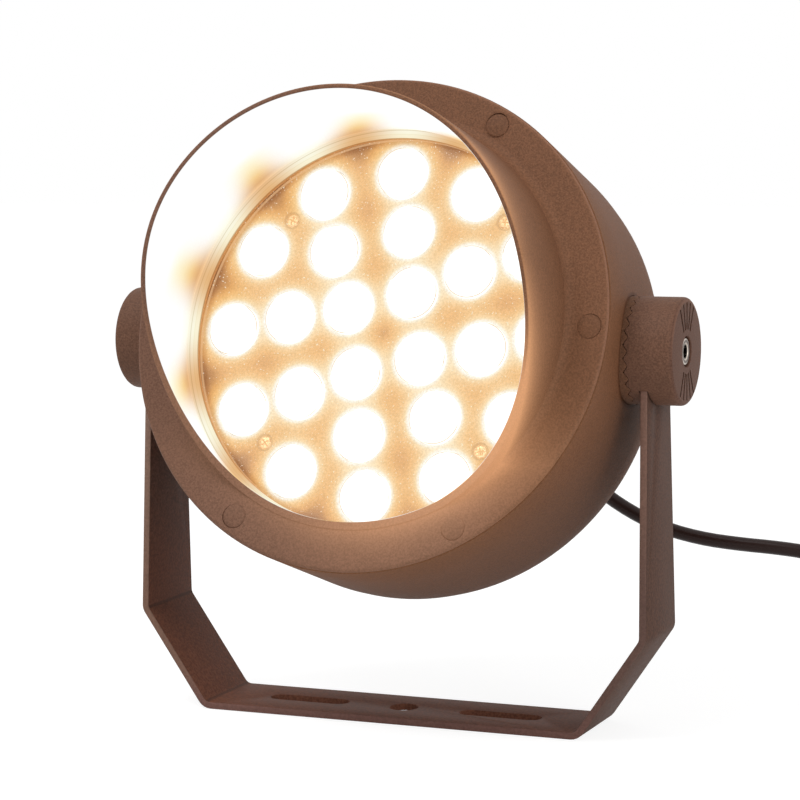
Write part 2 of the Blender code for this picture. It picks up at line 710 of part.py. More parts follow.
def make_led_board():
    front = BOARD_FRONT
    obj = make_object(disc(BOARD_R, LEDGE + GAP, front), "led_board",
                      ((0.75, 0.74, 0.70), 0.5, 0.1), head)
    chips = bmesh.new()
    half = CHIP / 2
    for x, z in lens_places():
        box(chips, (x - half, -(front + CHIP_T), z - half), (x + half, -(front - BOARD_T / 2), z + half))
    cut(obj, chips, "led_chips", "UNION")
    holes = bmesh.new()
    for k in range(4):
        x, z = polar(PANEL_SCREW_AT, 45 + 90 * k)
        post(holes, (x, 0, z), AXIS, PANEL_SCREW_R + GAP, LEDGE - OVERRUN, front + OVERRUN,
             HIDDEN_STEPS)
    cut(obj, holes, "board_holes")


def make_driver():
    """Potted supply that fills the space between the board and the back wall."""
    bm = bmesh.new()
    back, front = WELL_BACK + GAP, LEDGE
    high = DRIVER_H / 2
    wide = math.sqrt((WELL_R - WELL_CHAMFER - DRIVER_CLEAR) ** 2 - high ** 2)
    box(bm, (-wide, -front, -high), (wide, -back, high))
    bmesh.ops.bevel(bm, geom=bm.edges[:], offset=DRIVER_EDGE, segments=1, affect="EDGES")
    make_object(bm, "driver", ((0.55, 0.55, 0.57), 0.5, 0.0), head)


# ---- Toothed hubs, knobs and clamp bolts

def bolt_seat():
    """Inner face of the bolt's head, from the middle of the lamp."""
    return KNOB_OUT - BOLT_SINK - BOLT_HEAD_T


def tooth_wave(k, radius):
    """Height of the toothed face above its middle plane, tips on even steps."""
    sign = 1 if k % 2 == 0 else -1
    return sign * TOOTH_H / 2 * radius / KNOB_R


def toothed_loops(bm, side, phase, section):
    """One outline per half tooth round the X axis; section(k) gives (out, radius) points."""
    loops = []
    for k in range(2 * TOOTH_COUNT):
        a = math.radians(phase + 180 * k / TOOTH_COUNT)
        loops.append([bm.verts.new((side * out, -r * math.cos(a), r * math.sin(a)))
                      for out, r in section(k)])
    skin(bm, loops)


def make_hub(side, name):
    face = TEETH_AT - GAP / 2
    hole = BOLT_R + GAP

    def section(k):
        return [(HUB_FOOT + GAP, hole), (HUB_FOOT + GAP, KNOB_R),
                (face + tooth_wave(k, KNOB_R), KNOB_R), (face + tooth_wave(k, hole), hole)]

    bm = bmesh.new()
    toothed_loops(bm, side, 0, section)
    make_object(bm, name, POWDER, head)


def make_knob(side, name):
    face = TEETH_AT + GAP / 2
    hole = BOLT_R + GAP
    floor = bolt_seat() - GAP

    def section(k):
        edge = [(KNOB_OUT - KNOB_EDGE * (1 - s), KNOB_R - KNOB_EDGE * (1 - c))
                for s, c in quarter()]
        return [(face + tooth_wave(k, hole), hole), (face + tooth_wave(k, KNOB_R), KNOB_R),
                *edge, (KNOB_OUT, RECESS_R), (floor, RECESS_R), (floor, hole)]

    bm = bmesh.new()
    toothed_loops(bm, side, HEAD_TILT, section)
    obj = make_object(bm, name, POWDER_DARK, at=(0, BRACKET_Y, PIVOT_HEIGHT))

    slot = bmesh.new()
    top = ARM_W / 2 + GAP
    low = -KNOB_R - OVERRUN
    outline = [(0, *polar(top, 180 * n / ARC_STEPS)) for n in range(ARC_STEPS + 1)]
    half = strip_width(PIVOT_HEIGHT + low) / 2 + GAP
    outline += [(0, -half, low), (0, half, low)]
    inner = min(arm_outer(PIVOT_HEIGHT + low), ARM_TOP_HALF) - STRIP_T - GAP
    outer = max(arm_outer(PIVOT_HEIGHT + low), ARM_TOP_HALF) + GAP
    prism(slot, outline, Vector((side * inner, 0, 0)), Vector((side * outer, 0, 0)))
    cut(obj, slot, f"{name}_slot")

    grooves = bmesh.new()
    middle = (GROOVE_COUNT - 1) / 2
    inner, outer = RECESS_R + GROOVE_CLEAR, KNOB_R - GROOVE_EDGE
    for fan in (90, 270):
        for n in range(GROOVE_COUNT):
            turn = Matrix.Rotation(math.radians(fan + GROOVE_STEP * (n - middle)), 4, "X")
            low, high = sorted((side * (KNOB_OUT - GROOVE_DEPTH), side * (KNOB_OUT + OVERRUN)))
            shape = bmesh.new()
            box(shape, (low, inner, -GROOVE_W / 2), (high, outer, GROOVE_W / 2))
            shape.transform(turn)
            add_to(grooves, shape)
    cut(obj, grooves, f"{name}_grooves")


def make_clamp_bolt(side, name):
    bm = bmesh.new()
    lathe(bm, screw_outline(bolt_seat(), BOLT_HEAD_T, BOLT_HEAD_R, BOLT_R, BOLT_L),
          Vector((side, 0, 0)), SCREW_STEPS)
    make_object(bm, name, STEEL, at=(0, BRACKET_Y, PIVOT_HEIGHT))


# ---- Cable gland

def make_gland():
    bore = CORD_R + GAP
    rear = BACK - GAP
    flange = rear - GLAND_HEX_T
    neck = flange - GLAND_NECK_L
    shank = rear + GLAND_SHANK_L
    bm = bmesh.new()
    lathe(bm, [(shank, bore, 0), (shank, GLAND_R, 0), (rear, GLAND_R, 0), (rear, GLAND_HEX, 6),
               (flange, GLAND_HEX, 6), (flange, GLAND_NECK_R, 0), (neck, GLAND_NECK_R, 0),
               (neck, bore, 0)], AXIS, SCREW_STEPS, closed=True)
    make_object(bm, "gland_body", ((0.030, 0.028, 0.027), 0.5, 0.0), head)

    start = flange - GAP
    end = start - NUT_L
    dome = end + NUT_LIP
    inside = GLAND_NECK_R + GAP
    bm = bmesh.new()
    lathe(bm, [(start, inside, 0), (start, GLAND_HEX, 6), (dome, GLAND_HEX, 6),
               (end, (GLAND_HEX + bore) / 2, 0), (end, bore, 0), (neck - GAP, bore, 0),
               (neck - GAP, inside, 0)], AXIS, SCREW_STEPS, closed=True)
    make_object(bm, "gland_nut", ((0.030, 0.028, 0.027), 0.5, 0.0), head)


# ---- Cord, coil and connector

def lamp_axis(forward):
    """A point on the lamp's axis at rest, in the bracket's frame."""
    tilt = math.radians(HEAD_TILT)
    return (0.0, -forward * math.cos(tilt), PIVOT_HEIGHT + forward * math.sin(tilt))


def smooth(share):
    share = max(0.0, min(1.0, share))
    return share * share * (3 - 2 * share)


def coil_points():
    """Flat turns, each stepping up on to the one below before it comes round."""
    points = []
    for k in range(round(COIL_TURNS * COIL_POINTS) + 1):
        turn = k / COIL_POINTS
        level = int(turn) + smooth((turn % 1 - CROSS_FROM_SHARE) / CROSS_SHARE)
        x, y = polar(COIL_R, COIL_FROM - 360 * turn)
        points.append(Vector((COIL_X + x, COIL_Y + y, CORD_R + COIL_RISE * level)))
    return points


def connector_start():
    """Where the cord meets the connector, which lies on the floor beside the coil."""
    height = PLUG_NUT_R / math.cos(math.pi / PLUG_FLATS)
    return Vector((COIL_X + COIL_R + PLUG_NUT_R, COIL_Y - 2 * COIL_R, height))


def tail_points(points):
    """The last of the cord eases down from the top turn to the connector."""
    start, goal = points[-1], connector_start()
    out = []
    for k in range(1, TAIL_STEPS + 1):
        share = k / TAIL_STEPS
        ease = smooth(share)
        out.append(Vector((start.x + (goal.x - start.x) * ease,
                           start.y + (goal.y - start.y) * share,
                           start.z + (goal.z - start.z) * ease)))
    return out


def least_gap(points):
    """Smallest free space between one stretch of the coil and another."""
    best = None
    for i, a in enumerate(points):
        for b in points[i + COIL_POINTS // 2:]:
            space = (a - b).length - 2 * CORD_R
            best = space if best is None else min(best, space)
    return best


def tube(name, points, resolution):
    curve = bpy.data.curves.new(name, "CURVE")
    curve.dimensions = "3D"
    curve.bevel_depth = CORD_R
    curve.bevel_resolution = resolution
    curve.use_fill_caps = True
    spline = curve.splines.new("POLY")
    spline.points.add(len(points) - 1)
    for point, co in zip(spline.points, points):
        point.co = (*co, 1)
    curve.materials.append(material(name, *RUBBER))
    obj = bpy.data.objects.new(name, curve)
    bpy.context.scene.collection.objects.link(obj)
    obj.location = (0, BRACKET_Y, 0)


def make_cord():
    turns = coil_points()
    nut_end = BACK - GLAND_HEX_T - NUT_L - 2 * GAP
    exits = [lamp_axis(BACK + CORD_INSIDE), lamp_axis(BACK), lamp_axis(nut_end),
             lamp_axis(nut_end - 2 * CORD_R)]
    back_off = (turns[0] - turns[1]).normalized() * 3 * GAP
    free = [Vector(p) for p in exits] + [Vector(p) for p in CORD_ROUTE] + [turns[0] + back_off]
    tube("cord", free, 2)
    wound = turns + tail_points(turns)
    tube("cord_coil", wound, 1)
    length = sum((b - a).length for a, b in zip(free + wound, (free + wound)[1:]))
    print("least gap between the turns, mm:", round(least_gap(wound) * 1000, 2))
    print("cord length, m:", round(length, 3))


def make_connector():
    """Round waterproof plug with its ribbed nut, lying on the floor."""
    axis = Vector((0, -1, 0))
    nose = PLUG_TAIL_L + PLUG_NUT_L + PLUG_BODY_L
    floor = nose - PLUG_BODY_L / 2
    outline = [(GAP, 0, 0), (GAP, CORD_R + 2 * GAP, 0), (PLUG_TAIL_L, PLUG_BODY_R, 0),
               (PLUG_TAIL_L, PLUG_NUT_R, PLUG_FLATS),
               (PLUG_TAIL_L + PLUG_NUT_L, PLUG_NUT_R, PLUG_FLATS),
               (PLUG_TAIL_L + PLUG_NUT_L, PLUG_BODY_R, 0), (nose, PLUG_BODY_R, 0),
               (nose, PLUG_BODY_R - PLUG_WALL, 0), (floor, PLUG_BODY_R - PLUG_WALL, 0),
               (floor, 0, 0)]
    bm = bmesh.new()
    lathe(bm, outline, axis, 2 * SCREW_STEPS)
    start = connector_start()
    make_object(bm, "connector", RUBBER, at=(start.x, start.y + BRACKET_Y, start.z))


make_bracket()
make_housing()
make_front_cover()
make_hood_fixings()
make_glass()
make_lens_panel()
make_lenses()
make_led_board()
make_driver()
for direction, word in ((-1, "left"), (1, "right")):
    make_hub(direction, f"hub_{word}")
    make_knob(direction, f"knob_{word}")
    make_clamp_bolt(direction, f"clamp_bolt_{word}")
make_gland()
make_cord()
make_connector()
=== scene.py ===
"""Looks for the round outdoor spotlight: camera, lead, castings, optics, fixings and light."""
from math import atan2, cos, degrees, hypot, pi, radians, sin, tau

import bmesh
import bpy
from mathutils import Matrix, Vector


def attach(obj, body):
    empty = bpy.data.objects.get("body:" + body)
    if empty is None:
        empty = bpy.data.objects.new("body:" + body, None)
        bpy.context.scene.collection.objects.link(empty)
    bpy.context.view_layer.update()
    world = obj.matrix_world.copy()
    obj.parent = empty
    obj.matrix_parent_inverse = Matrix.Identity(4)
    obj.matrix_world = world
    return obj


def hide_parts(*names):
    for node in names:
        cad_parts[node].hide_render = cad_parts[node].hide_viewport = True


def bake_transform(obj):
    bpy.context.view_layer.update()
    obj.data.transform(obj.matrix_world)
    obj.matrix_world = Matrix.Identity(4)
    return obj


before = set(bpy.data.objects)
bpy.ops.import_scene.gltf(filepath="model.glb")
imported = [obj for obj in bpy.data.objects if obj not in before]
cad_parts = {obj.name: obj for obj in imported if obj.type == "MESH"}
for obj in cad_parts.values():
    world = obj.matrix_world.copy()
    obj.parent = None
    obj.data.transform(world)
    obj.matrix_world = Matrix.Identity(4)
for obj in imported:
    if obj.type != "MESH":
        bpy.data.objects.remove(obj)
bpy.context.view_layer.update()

# Sizes in metres. Those of the castings, the optics and the fixings are the same as in the part.
GAP = 0.0003
OVERRUN = 0.002
TILT = radians(18.456)
PIVOT = Vector((0, -0.0089, 0.15114))
STAND = Vector((0, PIVOT.y, 0))
HEAD = Matrix.Translation(PIVOT) @ Matrix.Rotation(-TILT, 4, "X")
FORWARD = Vector((0, -1, 0))
MOUTH = 0.036

# Front cover and hood
LIP_R = 0.0791
LIP_FRONT = 0.0248
LIP_T = 0.0022
LIP_ROUND = 0.0004
GLASS_POCKET_R = 0.0845
SKIRT_R = 0.0862
SKIRT_END = 0.0169
HOOD_R = 0.07935
HOOD_TAPER = 0.041
HOOD_FLARE = 0.0033
HOOD_RIM_T = 0.002
HOOD_ROOT_T = 0.003
HOOD_ROOT_R = 0.0865
HOOD_FOOT_H = 0.003
HOOD_LEAST = 0.0004
HOOD_SHARES = (0.12, 0.25, 0.4, 0.55, 0.7, 0.84, 0.94)    # heights of the rings in its wall
COVER_FACE = 0.037
COVER_DISH = 0.001
COVER_R = 0.0988
COVER_ROUND = 0.0015
COVER_BACK = 0.0303
SEAM_CHAMFER = 0.0002
SPIGOT_R = 0.0973
RIM_MEAN = 0.0408
RIM_LEAN = 0.0597
RIM_TOP = 0.0538
RIM_LOW = -0.0109
RIM_SOFT = 0.0254
RIM_ROUND = 0.0007
PLUG_COUNT = 6
PLUG_AT = 0.0917
PLUG_R = 0.0046
PLUG_T = 0.002
PLUG_SEAT = 0.0325
PLUG_SEAM = 0.00006

# Housing
HOUSING_R = 0.0992
MOUTH_ROUND = 0.0005
SIDE_BACK = -0.0243
BACK = -0.072
BACK_R = 0.0474
SEAT = 0.0285
SEAT_R = 0.0865
SEAT_T = 0.01
CAVITY_R = 0.095
LEDGE = 0.0043
WELL_R = 0.076
WELL_CHAMFER = 0.009
WELL_BACK = -0.042
FIN_FLOOR = -0.048
FIN_PITCH = 0.0135
FIN_SLOT = 0.009
FIN_PAIRS = 5
FIN_ROOT = 0.0022
BOSS_HALF = 0.014

# Glass, panel and lenses
GLASS_FRONT = 0.0211
GLASS_BACK = 0.0181
GLASS_CHAMFER = 0.0004
PANEL_R = 0.0825
PANEL_FRONT = 0.0172
PANEL_T = 0.0015
PANEL_EDGE = 0.0003
PANEL_BEAD = ((0.0, 0.0805), (0.0003, 0.0801), (0.0003, 0.0795), (0.0, 0.0791))
PANEL_SCREW_AT = 0.065
PANEL_SCREW_END = 0.0047
PANEL_SCREW_R = 0.0015
PANEL_SCREW_HEAD_R = 0.0029
PANEL_SCREW_HOLE_R = 0.0033
LENS_FRONT = 0.0177
LENS_BACK = 0.0072
LENS_R = 0.01068
LENS_BACK_R = 0.0042
LENS_BAND = 0.0017
LENS_RINGS = ((0.066, 12, 0.0), (0.04206, 8, -7.5), (0.01938, 4, 58.9))

# Hubs, knobs and clamp bolts
KNOB_R = 0.021
KNOB_OUT = 0.11925
KNOB_EDGE = 0.0018
TEETH_AT = 0.1009
TOOTH_H = 0.0019
TOOTH_COUNT = 24
HUB_FOOT = 0.0965
RECESS_R = 0.006
BOLT_SEAT = 0.11355
BOLT_R = 0.003
BOLT_HEAD_R = 0.0054
BOLT_HEAD_T = 0.0052
BOLT_L = 0.023
BOLT_HOLE_END = 0.0886
SOCKET_R = 0.0029
SOCKET_DEPTH = 0.0027
GROOVE_HALF = 0.0006
GROOVE_DEPTH = 0.0007
GROOVE_IN = 0.0085
GROOVE_OUT = 0.019
GROOVE_STEP = 14

# Bracket
STRIP_T = 0.0027
BASE_W = 0.0399
ARM_W = 0.0286
ARM_TOP = 0.1078
ELBOW_HEIGHT = 0.0399
BENDS = ((0.08155, 0.0), (0.1089, ELBOW_HEIGHT))    # outer corners of the strip
BEND_MIDDLES = ((0.8847, 0.4661), (0.2912, 0.9566))    # across each bend, at half its angle
RUN_INWARDS = ((-0.8248, 0.5654), (-1.0, -0.0099))    # into the bracket from the run that follows

# Lead, coil, connector and gland
CORD_R = 0.0031
COIL_R = 0.0335
COIL_TURNS = 3.25
COIL_RISE = 0.007
COIL_MIDDLE = Vector((0.231, 0.11, 0))
COIL_POINTS = 24
CROSS_FROM = 0.58    # part of a turn where it steps up
CROSS_SHARE = 0.3
TAIL_STEPS = 10
CONNECTOR = Vector((0.275, 0.043, 0.0105 / cos(pi / 12)))
GLAND_R = 0.006
GLAND_LAND = -0.066
GLAND_POCKET_R = 0.011
GLAND_SHANK_L = 0.008
GLAND_NECK_R = 0.0068
GLAND_NECK_L = 0.008
GLAND_HEX = 0.0085
GLAND_HEX_T = 0.005
HEX_CHAMFER = 0.0012
NUT_L = 0.015
NUT_DOME = 0.0035
NUT_END = -0.0926


def linked(name, data):
    """A new object in the scene."""
    obj = bpy.data.objects.new(name, data)
    bpy.context.scene.collection.objects.link(obj)
    return obj


# ---- Camera

CAMERA_PLACE = (0.40648, -0.98402, 0.24031)
CAMERA_TURN = (22.655, -6.038, -0.513)    # yaw, pitch and roll in degrees
CAMERA_LENS = 118.69    # millimetres


def place_camera():
    """The photograph's view: a long lens, a little above the lamp and to the right of its front."""
    data = bpy.data.cameras.new("photo_view")
    data.lens = CAMERA_LENS
    data.clip_start = 0.05
    camera = linked("photo_view", data)
    yaw, pitch, roll = (radians(a) for a in CAMERA_TURN)
    place = Matrix.Translation(CAMERA_PLACE) @ Matrix.Rotation(yaw, 4, "Z")
    tilt = Matrix.Rotation(pi / 2 + pitch, 4, "X") @ Matrix.Rotation(roll, 4, "Z")
    camera.matrix_world = place @ tilt
    bpy.context.scene.camera = camera


place_camera()

# ---- Nodes


def operator(operation, reflected=False):
    """A method that puts a Math node between an output and another one or a number."""
    def method(self, other=0.0):
        values = (other, self) if reflected else (self, other)
        return self.nodes.math(operation, *values)
    return method


class Value:
    """A node's output that takes part in ordinary arithmetic."""

    def __init__(self, nodes, socket):
        self.nodes = nodes
        self.socket = socket

    __add__ = __radd__ = operator("ADD")
    __mul__ = __rmul__ = operator("MULTIPLY")
    __sub__, __rsub__ = operator("SUBTRACT"), operator("SUBTRACT", True)
    __truediv__ = operator("DIVIDE")
    __pow__ = operator("POWER")
    __abs__ = operator("ABSOLUTE")


class Nodes:
    """The nodes of one material or world."""

    def __init__(self, tree):
        self.tree = tree

    def fill(self, node, sockets):
        for key, value in sockets.items():
            socket = node.inputs[key.replace("_", " ") if isinstance(key, str) else key]
            if isinstance(value, Value):
                self.tree.links.new(value.socket, socket)
            else:
                socket.default_value = value

    def node(self, kind, settings=None, sockets=None, output=0):
        """Add a node, its settings first, and give back one output."""
        made = self.tree.nodes.new(kind)
        for key, value in (settings or {}).items():
            if key == "stops":
                stops = made.color_ramp.elements
                while len(stops) < len(value):
                    stops.new(1.0)
                for stop, (place, colour) in zip(stops, value):
                    stop.position = place
                    stop.color = (*colour, 1.0)
            else:
                setattr(made, key, value)
        self.fill(made, sockets or {})
        return Value(self, made.outputs[output]) if made.outputs else None

    def math(self, operation, *values):
        return self.node("ShaderNodeMath", {"operation": operation}, dict(enumerate(values)))

    def least(self, *values):
        return self.math("MINIMUM", *values)

    def above(self, value, limit=0.0):
        return self.math("MAXIMUM", value, limit)

    def fading(self, away, rate):
        """1 at no distance, and falling off exponentially with it."""
        return self.math("EXPONENT", away * -rate)

    def length(self, a, b):
        return self.math("SQRT", a * a + b * b)

    def angle(self, across, up):
        return self.math("ARCTAN2", up, across)

    def mix(self, amount, low, high, blend="MIX"):
        """One colour over another."""
        settings = {"data_type": "RGBA", "blend_type": blend}
        low, high = (c if isinstance(c, Value) else (*c, 1.0) for c in (low, high))
        return self.node("ShaderNodeMix", settings, {0: amount, 6: low, 7: high}, 2)

    def tint(self, amount, body, colour):
        return self.mix(amount, body, colour, "MULTIPLY")

    def step(self, value, low, high):
        """0 below low and 1 above high, smooth between them."""
        settings = {"interpolation_type": "SMOOTHSTEP"}
        return self.node("ShaderNodeMapRange", settings, {0: value, 1: low, 2: high})

    def below(self, value, low, high):
        return 1 - self.step(value, low, high)

    def band(self, value, rise, full, fade, end):
        """1 from full to fade, and 0 outside rise and end."""
        return self.step(value, rise, full) * self.below(value, fade, end)

    def ramp(self, value, stops):
        return self.node("ShaderNodeValToRGB", {"stops": stops}, {0: value})

    def here(self):
        """A point's place in its object, which is its place in the bracket's frame."""
        return self.node("ShaderNodeTexCoord", output="Object")

    def split(self, place):
        parts = self.node("ShaderNodeSeparateXYZ", None, {0: place})
        return [Value(self, out) for out in parts.socket.node.outputs]

    def lamp_place(self):
        """Right, forward and up of a point in the lamp's own frame."""
        own = self.node("ShaderNodeMapping", {"vector_type": "TEXTURE"},
                        {"Vector": self.here(), "Location": PIVOT, "Rotation": (-TILT, 0, 0)})
        x, y, z = self.split(own)
        return x, 0 - y, z

    def noise(self, scale, detail=2.0, rough=0.5):
        sockets = {"Vector": self.here(), "Scale": scale, "Detail": detail, "Roughness": rough}
        return self.node("ShaderNodeTexNoise", None, sockets)

    def bump(self, height, depth, strength):
        sockets = {"Height": height, "Distance": depth, "Strength": strength}
        return self.node("ShaderNodeBump", None, sockets)


class Finish(Nodes):
    """A material that is put together on its own shader."""

    def __init__(self, name, **sockets):
        self.material = bpy.data.materials.new(name)
        self.material.use_nodes = True
        super().__init__(self.material.node_tree)
        self.shader = self.tree.nodes["Principled BSDF"]
        self.fill(self.shader, sockets)

    def set(self, **sockets):
        self.fill(self.shader, sockets)

    def glow(self, colour, strength=1.0):
        self.set(Emission_Color=colour, Emission_Strength=strength)


# ---- Colours


def linear(red, green, blue):
    """A colour on the screen's scale of 0 to 255 as light."""
    return tuple(((c / 255 + 0.055) / 1.055) ** 2.4 if c > 10 else c / 3294.6
                 for c in (red, green, blue))


def screen_stops(*rows):
    """Stops of a ramp, from places and colours on the screen's scale."""
    return tuple((place, linear(*colour)) for place, *colour in rows)


def scaled(colour, factor):
    return tuple(c * factor for c in colour)


BLACK = (0.0, 0.0, 0.0)
WHITE = (1.0, 1.0, 1.0)
# One brown coat in a tone for each part; the tones differ partly as painted light and shade, to
# match how light falls on each part.
BROWN = linear(109, 76, 56)
BROWN_COVER = linear(115, 83, 67)
BROWN_HOUSING = linear(109, 73, 52)
BROWN_STRIP = linear(95, 67, 55)
BROWN_KNOB = linear(106, 75, 59)
SPILL = (1.0, 0.5, 0.235)
SPILL_ON_HOUSING = (1.0, 0.42, 0.13)

# Light inside the hood, from the lip forwards: in line with a lens, and between two
HOOD_HOT = screen_stops(
    (0.0, 251, 246, 222), (0.058, 252, 249, 230), (0.075, 246, 240, 214), (0.16, 249, 248, 232),
    (0.307, 254, 254, 244), (0.45, 255, 255, 255))
HOOD_DIM = (*screen_stops((0.0, 226, 180, 130), (0.058, 228, 184, 134), (0.075, 236, 190, 138),
                          (0.16, 240, 194, 140), (0.3, 223, 174, 120), (0.387, 235, 190, 131),
                          (0.467, 244, 207, 146), (0.627, 251, 233, 189), (0.8, 254, 248, 220)),
            (0.97, (1.0, 1.0, 0.99)))
HOOD_LIGHT_FROM, HOOD_LIGHT_REACH = 0.0225, 0.0375
# Fine painted shade lines on the lip, outwards from the opening
LIP_LINES = ((0.06, (0.98, 0.94, 0.84)), (0.2, (1.0, 0.98, 0.91)), (0.26, (0.92, 0.88, 0.76)),
             (0.32, (1.0, 1.0, 0.96)), (0.58, WHITE), (0.64, (0.76, 0.72, 0.6)), (0.71, WHITE))
LIP_LINES_FROM, LIP_LINES_REACH = 0.079, 0.0045
# Glow of the panel with more and more light from the lenses
PANEL_GLOW = screen_stops(
    (0.02, 158, 108, 70), (0.05, 190, 136, 88), (0.1, 226, 168, 104), (0.17, 240, 187, 121),
    (0.26, 244, 199, 138), (0.38, 249, 216, 166), (0.55, 251, 229, 190), (0.8, 253, 240, 212))
# Painted shade on the panel's edge under the lip, by its radius
PANEL_DIM = ((0.93, WHITE), (0.95, (0.86, 0.8, 0.76)), (0.962, (0.8, 0.72, 0.66)),
             (0.976, (0.8, 0.72, 0.66)), (0.984, (0.45, 0.36, 0.3)))
# A clamp bolt's head, by its radius, as painted light and shade: dark socket, bright rim, dark
# ring, bright edge
BOLT_RINGS = (
    (0.0, (0.03, 0.025, 0.02)), (0.5, (0.03, 0.025, 0.02)), (0.56, (0.62, 0.55, 0.48)),
    (0.62, (0.5, 0.42, 0.35)), (0.68, (0.1, 0.07, 0.055)), (0.82, (0.12, 0.09, 0.07)),
    (0.87, (0.6, 0.54, 0.48)), (0.93, (0.5, 0.43, 0.37)), (0.97, (0.05, 0.04, 0.03)))

# ---- Powder coats


def powder_coat(name, colour, rough=0.62, place=None, grain=0.2, pebble=1300):
    """Matt textured powder coat: a pebbled skin, faint clouds and lighter specks. Its place on the
    lamp may change its colour and light it."""
    coat = Finish(name, Specular_IOR_Level=0.14)
    clouds = coat.noise(26, 3.0, 0.6)
    pebbles = coat.noise(pebble, 2.0, 0.6)
    specks = coat.step(coat.noise(2100, 1.0), 0.6, 0.72)
    body = coat.mix(clouds, scaled(colour, 0.9), scaled(colour, 1.1))
    shade = coat.mix(coat.step(pebbles, 0.32, 0.68), (1 - grain,) * 3, (1 + grain,) * 3)
    body = coat.mix(specks * 0.25, coat.tint(1.0, body, shade), scaled(colour, 1.9))
    if place:
        body = place(coat, body, colour)
    coat.set(Base_Color=body, Roughness=rough + pebbles * 0.16 - 0.08,
             Normal=coat.bump(pebbles, 0.00025, 0.65))
    return coat.material


def warm_spill(coat, x, forward, z):
    """Warm light that leaves the opening and falls on the outside of the cover."""
    rim = coat.least(0.0778 + 0.746 * z, COVER_FACE + RIM_TOP)
    away = coat.above(rim - forward) + coat.above(coat.length(x, z) - 0.083)
    near, far = coat.fading(away, 130) * 0.46, coat.fading(away, 30) * 0.058
    side = 0.15 + 0.85 * coat.step(x, -0.055, 0.03)
    low = coat.below(z, -0.082, -0.045)
    high = coat.step(z, 0.045, 0.068)
    return coat.mix((near + far) * side * (1.08 - 0.42 * low - 0.8 * high), BLACK, SPILL)


def warm_lit_side(coat, body, x, z):
    """Painted light: the cover's coat is tinted more orange towards its lit right and top."""
    return coat.tint(coat.step(x + 0.5 * z, -0.01, 0.06), body, (1.05, 0.94, 0.76))


def spill_lit_plug(coat, body, colour):
    x, forward, z = coat.lamp_place()
    coat.glow(warm_spill(coat, x, forward, z))
    # Painted warm light on the plug's right and top, as on the cover.
    return coat.mix(0.08, warm_lit_side(coat, body, x, z), BLACK)


def hood_light(coat, forward, radius, angle):
    """White hot light with an orange dip between two lenses, and fine painted shade lines on the
    lip.
    """
    spread = 1.04 + coat.above(forward - 0.028) * 8
    turned = coat.math("WRAP", angle - radians(150), pi, -pi) / spread
    fan = 0.5 - 0.5 * coat.math("COSINE", turned * LENS_RINGS[0][1])
    dip = fan ** (1.0 + coat.above(forward - 0.03) * 115)
    depth = (forward - HOOD_LIGHT_FROM) / HOOD_LIGHT_REACH
    light = coat.mix(dip, coat.ramp(depth, HOOD_HOT), coat.ramp(depth, HOOD_DIM))
    lines = coat.ramp((radius - LIP_LINES_FROM) / LIP_LINES_REACH, LIP_LINES)
    # Painted shade in the lip's bore.
    bore = coat.below(radius, LIP_R + 0.0001, LIP_R + 0.0003)
    lines = coat.mix(bore * coat.below(forward, 0.0231, 0.0238), lines, (0.6, 0.44, 0.28))
    on_lip = coat.below(forward, LIP_FRONT + 0.0001, LIP_FRONT + 0.0006)
    return coat.mix(on_lip, light, coat.tint(1.0, light, lines))


def lit_hood(coat, body, colour):
    """Painted light inside the hood, a painted warm spill outside it, and a painted highlight on
    the cover's outer edge.
    """
    x, forward, z = coat.lamp_place()
    radius, angle = coat.length(x, z), coat.angle(x, z)
    ahead = forward - COVER_FACE
    behind = coat.least(ahead, 0.0) / (COVER_FACE - LIP_FRONT)
    outward = radius - (HOOD_R - HOOD_TAPER * ahead + HOOD_FLARE * behind * behind)
    inside = coat.below(outward, 0.00003, 0.00018) * coat.step(forward, 0.015, 0.018)
    on_rim = coat.below(outward, 0.0012, 0.0018) * coat.step(z, -0.035, 0.01)
    warm = coat.mix(on_rim, warm_spill(coat, x, forward, z), BLACK)
    coat.glow(coat.mix(inside, warm, hood_light(coat, forward, radius, angle)))
    # Painted highlight on the cover's outer edge, fading out lower down, over the painted warm
    # light on its right and top.
    edge_highlight = coat.step(radius, COVER_R - 0.0008, COVER_R - 0.0002)
    edge_highlight = edge_highlight * coat.step(forward, MOUTH - 0.0008, MOUTH) * coat.step(z, -0.05, 0.005)
    body = coat.mix(edge_highlight * 0.32, warm_lit_side(coat, body, x, z), scaled(colour, 2.4))
    return coat.mix(inside, body, BLACK)


def shaded_hub_seam(coat, body, colour):
    """Painted shade in the seam where each hub leaves the housing, and a warm spill at the front.
    """
    x, forward, z = coat.lamp_place()
    seam = coat.below(coat.length(forward, z), KNOB_R + 0.0007, KNOB_R + 0.002)
    seam = seam * coat.step(abs(x), 0.08, 0.085)
    spill = coat.fading(MOUTH - forward, 45) * 0.035
    coat.glow(coat.mix(spill, BLACK, SPILL_ON_HOUSING))
    shade = tuple(c * share for c, share in zip(colour, (0.42, 0.3, 0.24)))
    return coat.mix(seam * 0.75, body, shade)


